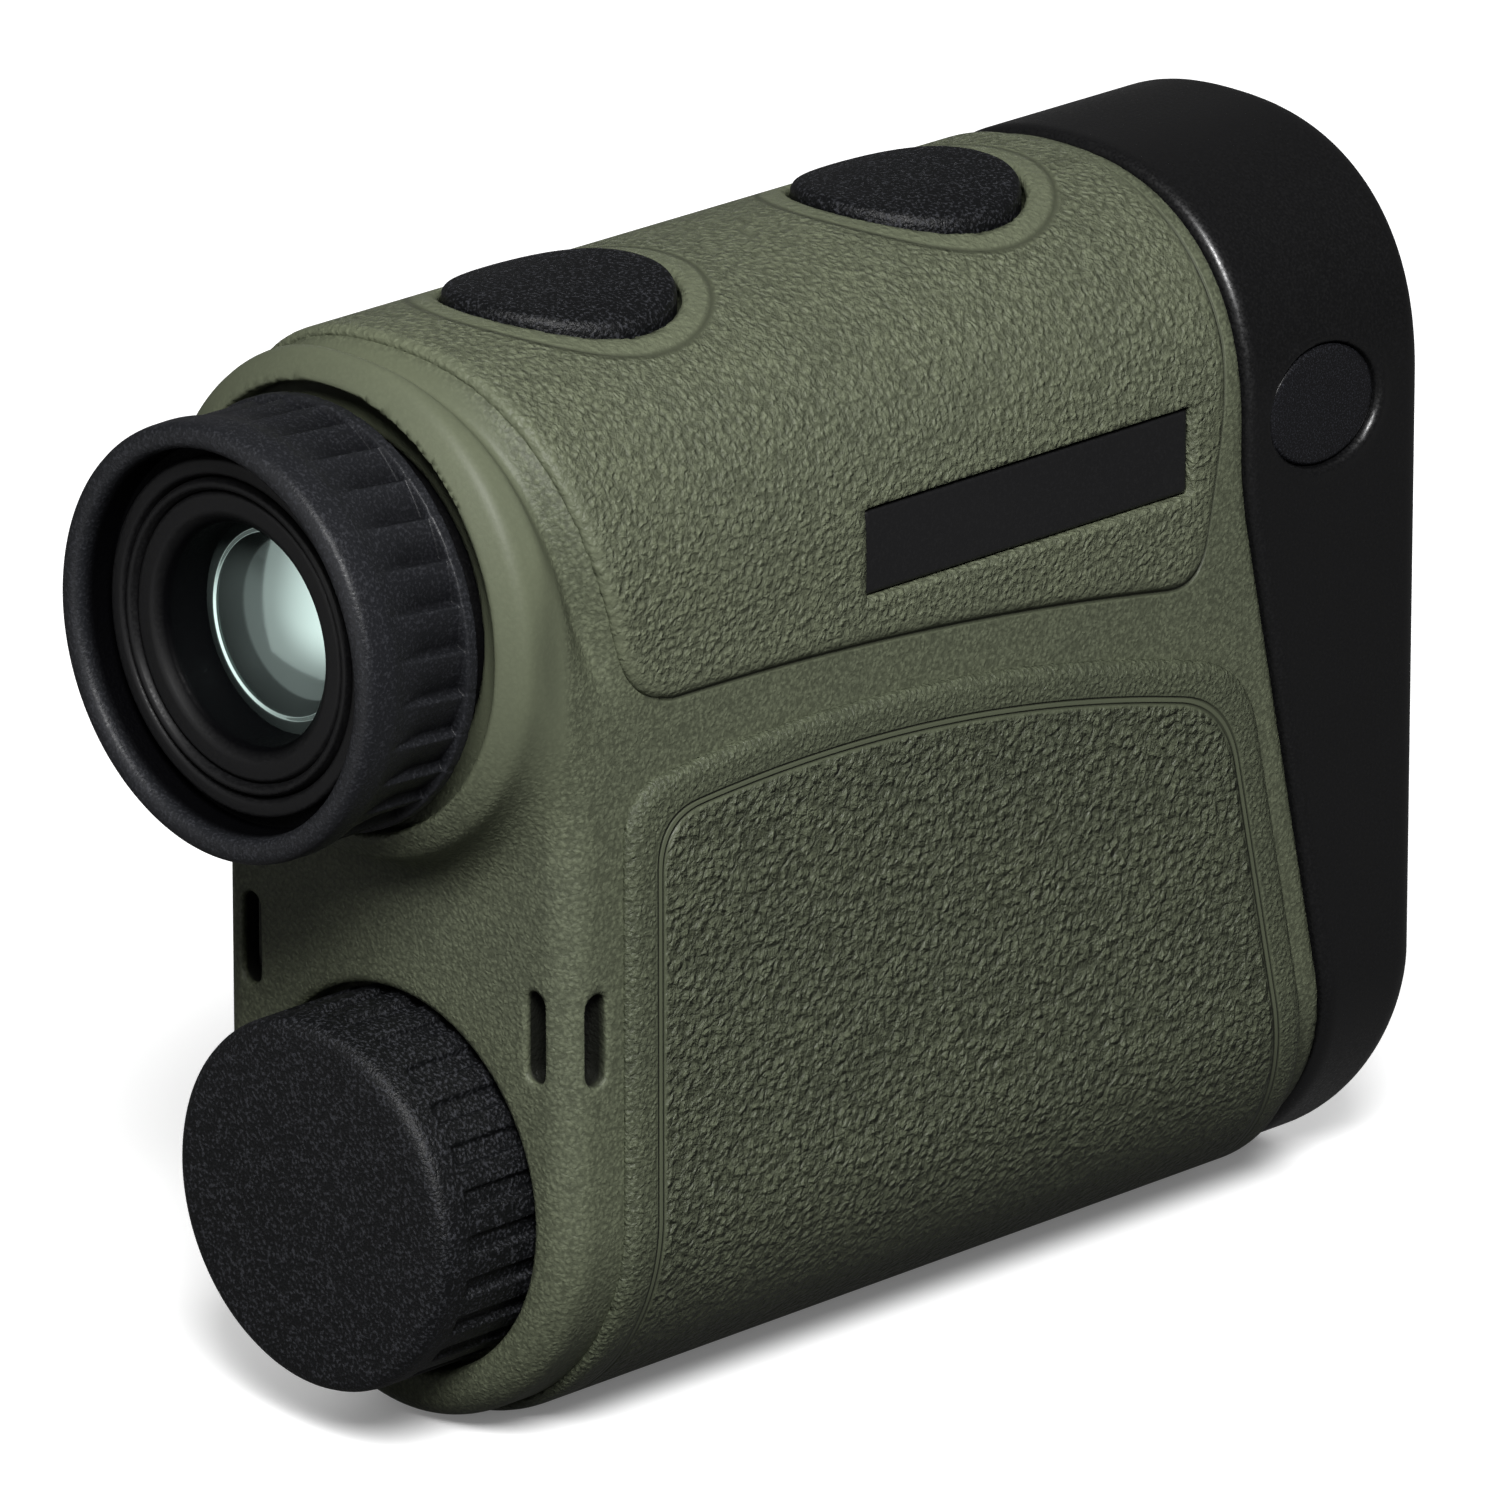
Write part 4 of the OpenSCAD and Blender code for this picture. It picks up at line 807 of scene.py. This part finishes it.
# %% Outline and sweep
def outline(corners, gap=0.4, arc_steps=6):
    """Closed outline through (radius, depth, rounding) corners. Each corner becomes a curve that starts
    and ends as far from it as its rounding says, and each straight gets points about a gap apart."""
    corners = np.array(corners, float)
    place = corners[:, :2]
    ahead = np.roll(place, -1, axis=0) - place
    length = np.linalg.norm(ahead, axis=1)
    reach = np.minimum(corners[:, 2], 0.49 * np.minimum(length, np.roll(length, 1)))[:, None]
    ahead = ahead / length[:, None]
    enter, leave = place - np.roll(ahead, 1, axis=0) * reach, place + ahead * reach
    points = []
    for i, following in enumerate(np.roll(enter, -1, axis=0)):
        t = np.linspace(0, 1, arc_steps if reach[i, 0] > 0 else 1)[:, None]
        points.append(enter[i] * (1 - t) ** 2 + place[i] * 2 * t * (1 - t) + leave[i] * t**2)
        more = max(int(np.linalg.norm(following - leave[i]) / gap), 1)
        points.append(leave[i] + (following - leave[i]) * np.linspace(0, 1, more + 1)[1:-1, None])
    return np.concatenate(points)


def sweep(profile, axis_z, count, change=None):
    """Turns a closed outline of (radius, depth) round an axis along Y, with its faces outwards: a point
    is the radius times the sine and cosine of the angle, with the depth along Y. An outline that starts
    and ends on the axis closes there, where the points of its first and last ring fall together."""
    angle = np.linspace(0, 2 * np.pi, count, endpoint=False)
    radius = np.repeat(profile[:, :1], count, axis=1)
    depth = np.repeat(profile[:, 1:], count, axis=1)
    if change:
        radius = radius + change(radius, depth, angle[None, :])
    vertex = np.stack([radius * np.sin(angle), LIP_Y + depth, axis_z + radius * np.cos(angle)], axis=2)
    rows = len(profile)
    row = np.arange(rows)[:, None]
    column = np.arange(count)[None, :]
    after, beside = (row + 1) % rows, (column + 1) % count
    faces = np.stack(np.broadcast_arrays(row * count + column, after * count + column,
                                         after * count + beside, row * count + beside), axis=2)
    if profile[:, 0].min() < 1e-6:
        faces = faces[:-1]
    area = np.sum(profile[:, 0] * np.roll(profile[:, 1], -1) - np.roll(profile[:, 0], -1) * profile[:, 1])
    faces = faces.reshape(-1, 4)
    return vertex.reshape(-1, 3), faces[:, ::-1] if area > 0 else faces


washer = outline([(4, 0, 0.2), (6, 0, 0.2), (6, 1, 0.2), (4, 1, 0.2)])
print("a washer's outline takes", len(washer), "points")

# %% [markdown]
# ### Eyecup
# Its lip is rolled over and nearly 2 mm thick. Thirty shallow flutes start a third of the way down the
# side, each falling away slowly and ending in a small step, and they deepen towards a thin serrated
# flange. A number on the mesh paints shade into the flutes where they sink, and paints the cup's inner
# wall near-black as shade.

# %% Eyecup skin
CUP_FLUTES = 30
CUP_SIDE_R = 14.6
FLANGE_DEPTH = 8.9
FLUTE_TWIST = 0.03


def eyecup_flutes(radius, depth, angle):
    """Saw-like flutes: within one turn of the saw the radius falls, then steps back up over a short ramp.
    A thin crease lies beside the ramp, and the flange keeps only faint teeth."""
    turn = (angle * CUP_FLUTES / (2 * np.pi) - FLUTE_TWIST * (depth - 3)) % 1.0
    saw = np.where(turn < 0.86, 1 - turn / 0.86, ease(turn, 0.86, 1.0))
    above_flange = 1 - ease(depth, FLANGE_DEPTH - 0.05, FLANGE_DEPTH + 0.1)
    deep = 0.6 * ease(depth, 2.4, 6.6) * above_flange
    crease = 0.24 * bump(turn - 0.95, 0.045) * ease(depth, 2.6, 4.6) * above_flange
    teeth = 0.05 * bump(turn - 0.93, 0.1) * ease(depth, FLANGE_DEPTH + 0.05, FLANGE_DEPTH + 0.2)
    return np.where(radius > 14.0, -(1 - saw) * deep - teeth - crease, 0)


cup = outline([(13.0, 3.25, 0.2), (13.0, 1.3, 1.3), (13.15, 0, 1.05), (14.85, 0, 1.15), (14.9, 2.4, 1.0),
               (CUP_SIDE_R, 3.4, 0.8), (14.55, FLANGE_DEPTH, 0.12), (14.78, 9.05, 0.12), (14.78, 9.9, 0.25),
               (11.5, 9.9, 0.2), (11.5, 3.25, 0.1)], gap=0.45)
vertex, faces = sweep(cup, EYE_Z, 32 * CUP_FLUTES, eyecup_flutes)
eyecup = put("eyecup_skin", vertex, faces, "focus_ring", ["eyecup"], rubber_finish)

# %% Painted shade on the eyecup
across, up, depth = vertex[:, 0], vertex[:, 2] - EYE_Z, vertex[:, 1] - LIP_Y
from_axis = np.hypot(across, up)
# Painted shade: the colour darkens where the flutes sink, and the cup's inner wall is painted near-black.
sunk = -eyecup_flutes(CUP_SIDE_R, depth, np.arctan2(across, up) % (2 * np.pi))
flute_shade = np.clip(sunk / 0.9, 0, 0.6)
inner_wall_shade = ease(-from_axis, -13.7, -13.1) * ease(depth, 0.3, 1.4)
outside = (from_axis > 13.4) & (depth < FLANGE_DEPTH + 0.05)
note(eyecup, "painted_shade", np.where(outside, flute_shade, inner_wall_shade))
print(f"flutes are up to {sunk.max():.2f} mm deep")

# %% [markdown]
# ### Barrel, lens cell and retaining ring
# Inside the eyecup, steps and beads of anodised aluminium lead down to the lens. The barrel carries the
# eyecup and screws the lens cell in and out; the ring holds the lens in its cell. The ring's bore is
# painted a duller, darker black than its anodising, as painted shade deep in the tube.

# %% Barrel, cell and ring skins
barrel = outline([(10.8, 24.1, 0.2), (10.8, 2.6, 0.2), (11.0, 2.1, 0.3), (12.1, 2.1, 0.35), (12.1, 3.2, 0.1),
                  (11.4, 3.2, 0.1), (11.4, 10.1, 0.2), (12.0, 10.1, 0.2), (12.0, 24.1, 0.2)], gap=1.0)
cell = outline([(9.86, 6.85, 0.1), (9.86, 2.45, 0.15), (10.1, 2.0, 0.3), (10.5, 2.0, 0.3), (10.7, 2.5, 0.2),
                (10.7, 21.2, 0.3), (6.6, 21.2, 0.2), (6.6, 20.2, 0.2), (8.05, 18.5, 0.1), (8.05, 6.85, 0.1)],
               gap=1.0)
ring = outline([(7.5, 6.7, 0.15), (7.5, 3.1, 0.3), (8.35, 2.3, 0.25), (9.6, 2.3, 0.2), (9.8, 2.6, 0.1),
                (9.8, 6.8, 0.1)], gap=0.6)
vertex, faces = sweep(barrel, EYE_Z, 240)
put("barrel_skin", vertex, faces, "focus_ring", ["eyepiece_barrel", "barrel_seal"], anodised_finish)
vertex, faces = sweep(cell, EYE_Z, 240)
put("cell_skin", vertex, faces, "lens_carrier", ["lens_cell"], anodised_finish)
vertex, faces = sweep(ring, EYE_Z, 240)
retainer = put("retaining_ring_skin", vertex, faces, "lens_carrier", ["cell_ring"], anodised_finish)
# Painted shade: the ring's bore is painted darker and duller than its anodising.
note(retainer, "painted_shade", 1.0 * (np.hypot(vertex[:, 0], vertex[:, 2] - EYE_Z) < 7.8))

# %% [markdown]
# ### Eye lens
# The lens is thick and bulges on both faces. Its front is a sphere of 18 mm radius, so it gathers the
# reflection of the whole room, and a low step near its rim gives the bright circle that a mounted lens
# shows.

# %% Eye lens skin
LENS_R, LENS_FRONT, LENS_BACK = 8.0, 7.0, 10.2
FRONT_CURVE_R, BACK_CURVE_R = 18.0, 60.0
RIM_STEP = 0.25


def lens_outline():
    """Half section of the lens from its front pole, round the rim, to its back pole. A face's sag is its
    curve's radius less the leg of the right triangle that the radius and the distance from the axis
    span."""
    r = np.linspace(0, LENS_R, 120)
    front_rise = np.sqrt(FRONT_CURVE_R**2 - LENS_R**2) - np.sqrt(FRONT_CURVE_R**2 - r**2)
    back_rise = np.sqrt(BACK_CURVE_R**2 - LENS_R**2) - np.sqrt(BACK_CURVE_R**2 - r**2)
    front = LENS_FRONT + front_rise - RIM_STEP * ease(r, 6.2, 6.6)
    return np.concatenate([np.stack([r, front], 1), np.stack([r, LENS_BACK - back_rise], 1)[::-1]])


vertex, faces = sweep(lens_outline(), EYE_Z, 200)
put("eye_lens_skin", vertex, faces, "lens_carrier", ["eye_lens"], lens_finish)

# %% [markdown]
# ### Battery cap
# A flat gritty face with a rounded edge, a smooth shoulder, and 26 square-ended grooves down to its base.
# The outline has a flat corner where the grooves begin, so that their ends get points enough.

# %% Battery cap skin
CAP_R = 12.9
CAP_GROOVES = 26
CAP_DEPTH = span("battery_cap")[0][1] - LIP_Y
CAP_BASE = REAR_Y + 2.2 - LIP_Y
SPIGOT_R, SPIGOT_BORE_R, SPIGOT_L = 9.2, 7.9, 3.0


def cap_grooves(radius, depth, angle):
    """Square-ended grooves with soft flanks."""
    turn = (angle * CAP_GROOVES / (2 * np.pi)) % 1.0 - 0.5
    groove = 1 - ease(np.abs(turn), 0.17, 0.27)
    return np.where(radius > CAP_R - 0.5, -0.48 * groove * ease(depth, CAP_DEPTH + 2.3, CAP_DEPTH + 3.0), 0)


shell = outline([(0, CAP_DEPTH, 0), (CAP_R, CAP_DEPTH, 1.1), (CAP_R, CAP_DEPTH + 2.65, 0.5),
                 (CAP_R, CAP_BASE, 0.3), (SPIGOT_R, CAP_BASE, 0.1), (SPIGOT_R, CAP_BASE + SPIGOT_L, 0.2),
                 (SPIGOT_BORE_R, CAP_BASE + SPIGOT_L, 0.2), (SPIGOT_BORE_R, CAP_BASE - 1, 0.2),
                 (0, CAP_BASE - 1, 0)], gap=0.6)
vertex, faces = sweep(shell, CAP_Z, 32 * CAP_GROOVES, cap_grooves)
put("battery_cap_skin", vertex, faces, "cap_shell", ["battery_cap", "cap_seal"], cap_finish)

# %% [markdown]
# ## Pieces kept from the CAD
# The front plate, its screws, the lenses and rings behind it, and everything inside keep their CAD
# shapes, which are already true there. They take finishes of the same kinds.

# %% Finishes for the CAD pieces
kept = {
    anodised_finish: ["objective_ring", "laser_ring", "objective_tube", "laser_tube", "lens_spacer",
                      "battery_tube", "prism_housing"],
    plate_finish: ["front_plate", "switch_bodies", "board_parts"],
    steel_finish: ["plate_screws", "board_screws", "prism_clip", "contact_spring", "cap_contact",
                   "contact_plate", "laser_diode", "receiver_diode"],
    lens_finish: ["objective_lens", "laser_lens", "field_lens"],
    glass_finish: ["roof_prism", "half_penta_prism", "display_panel"],
    board_finish: ["main_board", "switch_board"],
    button_finish: ["button_seals", "menu_plunger", "measure_plunger"],
    cell_finish: ["battery"],
}
for finish, names in kept.items():
    for name in names:
        nodes[name].data.materials.clear()
        nodes[name].data.materials.append(finish)
print("CAD pieces given finishes:", sum(len(names) for names in kept.values()))

# %% [markdown]
# ## Floor and room
# The floor is white paper without a horizon. A colour has to render about as it is written, so the lamps
# stay plain and the white is a glow of the floor and the room that the camera sees in full. Glossy rays
# see the floor's glow faintly, and all rays see a little of the room's. The floor's glow is held back where
# the object shuts off the sky, which gives a soft painted shadow at its foot, and it is strongest far off,
# where the lamps don't reach.

# %% Floor
def plain_sheet(name, corners, finish):
    """A stage object with one face of four corners, in metres."""
    mesh = bpy.data.meshes.new(name)
    mesh.from_pydata(corners, [], [(0, 1, 2, 3)])
    mesh.materials.append(finish)
    made = bpy.data.objects.new(name, mesh)
    bpy.context.scene.collection.objects.link(made)
    return made


WHITE = (1, 1, 1, 1)
paper, tree, shader, place = start("white_paper_floor", Roughness=0.9, Specular_IOR_Level=0.0,
                                   Emission_Color=WHITE)
seen = add(tree, "ShaderNodeLightPath")
tone = add(tree, "ShaderNodeMix", {"Factor": seen.outputs["Is Camera Ray"], 6: (0.06, 0.06, 0.06, 1),
                                   7: (0.9, 0.9, 0.9, 1)}, data_type="RGBA")
tree.links.new(tone.outputs[2], shader.inputs["Base Color"])
# Painted shadow: the floor's glow seen by the camera is dimmed where the object hides the sky.
sky_for_painted_shadow = add(tree, "ShaderNodeAmbientOcclusion", {"Distance": 0.03})
near = add(tree, "ShaderNodeMath", {0: sky_for_painted_shadow.outputs["AO"], 1: 0.4, 2: 0.12}, operation="MULTIPLY_ADD")
reach = add(tree, "ShaderNodeVectorMath", {0: place}, operation="LENGTH")
far = add(tree, "ShaderNodeMapRange", {"Value": reach.outputs["Value"], "From Min": 0.2, "From Max": 1.0,
                                       "To Min": 0.0, "To Max": 0.5})
level = add(tree, "ShaderNodeMath", {0: near.outputs[0], 1: far.outputs[0]})
glow = add(tree, "ShaderNodeMath", {0: seen.outputs["Is Camera Ray"], 1: level.outputs[0]},
           operation="MULTIPLY")
mirrored = add(tree, "ShaderNodeMath", {0: seen.outputs["Is Glossy Ray"], 1: 0.05, 2: glow.outputs[0]},
               operation="MULTIPLY_ADD")
tree.links.new(mirrored.outputs[0], shader.inputs["Emission Strength"])
FLOOR_HALF = 6
floor = plain_sheet("floor", [(-FLOOR_HALF, -FLOOR_HALF, 0), (FLOOR_HALF, -FLOOR_HALF, 0),
                              (FLOOR_HALF, FLOOR_HALF, 0), (-FLOOR_HALF, FLOOR_HALF, 0)], paper)
print("floor:", 2 * FLOOR_HALF, "m wide")

# %% Room
world = bpy.data.worlds.new("room")
world.use_nodes = True
bpy.context.scene.world = world
tree = world.node_tree
seen = add(tree, "ShaderNodeLightPath")
level = add(tree, "ShaderNodeMath", {0: seen.outputs["Is Camera Ray"], 1: 0.9, 2: 0.08},
            operation="MULTIPLY_ADD")
tree.links.new(level.outputs[0], tree.nodes["Background"].inputs["Strength"])
tree.nodes["Background"].inputs["Color"].default_value = WHITE
print("room:", world.name)

# %% [markdown]
# ## Lamps, card and camera
# One soft lamp to the right and above lights the shoulder and lets the foot fall into the dark. A larger
# one stands further off in front and to the left, and its fainter light opens the far side. Glossy
# surfaces don't mirror it, because at a grazing angle it would lay a glare over the top. In a studio one
# would hold a white card behind the eyepiece to put a bright shape on the lens, and so does this scene.
# The card is hidden from the camera and lights nothing, so it shows in reflections only, and it fades
# towards its left and lower edges.

# %% Lamps
LAMP_AIM = Vector((0, 0, 0.04))


def lamp(name, place, size, watts):
    """Square white area lamp at a place in metres, turned to the middle of the object."""
    light = bpy.data.lights.new(name, "AREA")
    light.size, light.energy = size, watts
    made = bpy.data.objects.new(name, light)
    made.location = place
    made.rotation_euler = (Vector(place) - LAMP_AIM).to_track_quat("Z", "Y").to_euler()
    bpy.context.scene.collection.objects.link(made)
    print(f"{name}: {watts} W over {size} m")
    return made


lamp("key_softbox", (0.47, -0.42, 0.60), 0.3, 11.2)
fill = lamp("fill_softbox", (-0.95, 0.85, 0.30), 0.8, 12)
fill.visible_glossy = False

# %% Card for the lens to reflect
CARD_Y, CARD_LEFT, CARD_RIGHT, CARD_HIGH = -0.12, -0.09, 0.03, 0.12
white_card, tree, shader, place = start("white_card", Roughness=0.9, Emission_Color=WHITE)
axes = add(tree, "ShaderNodeSeparateXYZ", {"Vector": place})
fade = add(tree, "ShaderNodeMapRange", {"Value": axes.outputs["X"], "From Min": -0.08, "From Max": 0.0,
                                        "To Min": 0.0, "To Max": 1.1}, interpolation_type="SMOOTHSTEP")
rise = add(tree, "ShaderNodeMapRange", {"Value": axes.outputs["Z"], "From Min": 0.0, "From Max": 0.04},
           interpolation_type="SMOOTHSTEP")
both = add(tree, "ShaderNodeMath", {0: fade.outputs[0], 1: rise.outputs[0]}, operation="MULTIPLY")
tree.links.new(both.outputs[0], shader.inputs["Emission Strength"])
card = plain_sheet("reflection_card", [(CARD_LEFT, CARD_Y, 0.0), (CARD_RIGHT, CARD_Y, 0.0),
                                       (CARD_RIGHT, CARD_Y, CARD_HIGH), (CARD_LEFT, CARD_Y, CARD_HIGH)],
                   white_card)
card.visible_camera = card.visible_diffuse = card.visible_shadow = False
print(f"card: {CARD_RIGHT - CARD_LEFT:.2f} m wide, {LIP_Y * MM - CARD_Y:.3f} m behind the eyecup's lip")

# %% Camera
EYE_PLACE = Vector((0.7240, -0.7157, 0.3979))
LOOK_AT = Vector((0.00067, 0.00008, 0.0395))
camera = bpy.data.objects.new("camera", bpy.data.cameras.new("camera"))
camera.data.lens, camera.data.sensor_width = 384, 36
camera.data.clip_start, camera.data.clip_end = 0.05, 30
camera.location = EYE_PLACE
camera.rotation_euler = (EYE_PLACE - LOOK_AT).to_track_quat("Z", "Y").to_euler()
bpy.context.scene.collection.objects.link(camera)
bpy.context.scene.camera = camera
bpy.context.scene.view_settings.view_transform = "Standard"
print(f"camera: {(EYE_PLACE - LOOK_AT).length:.2f} m away")
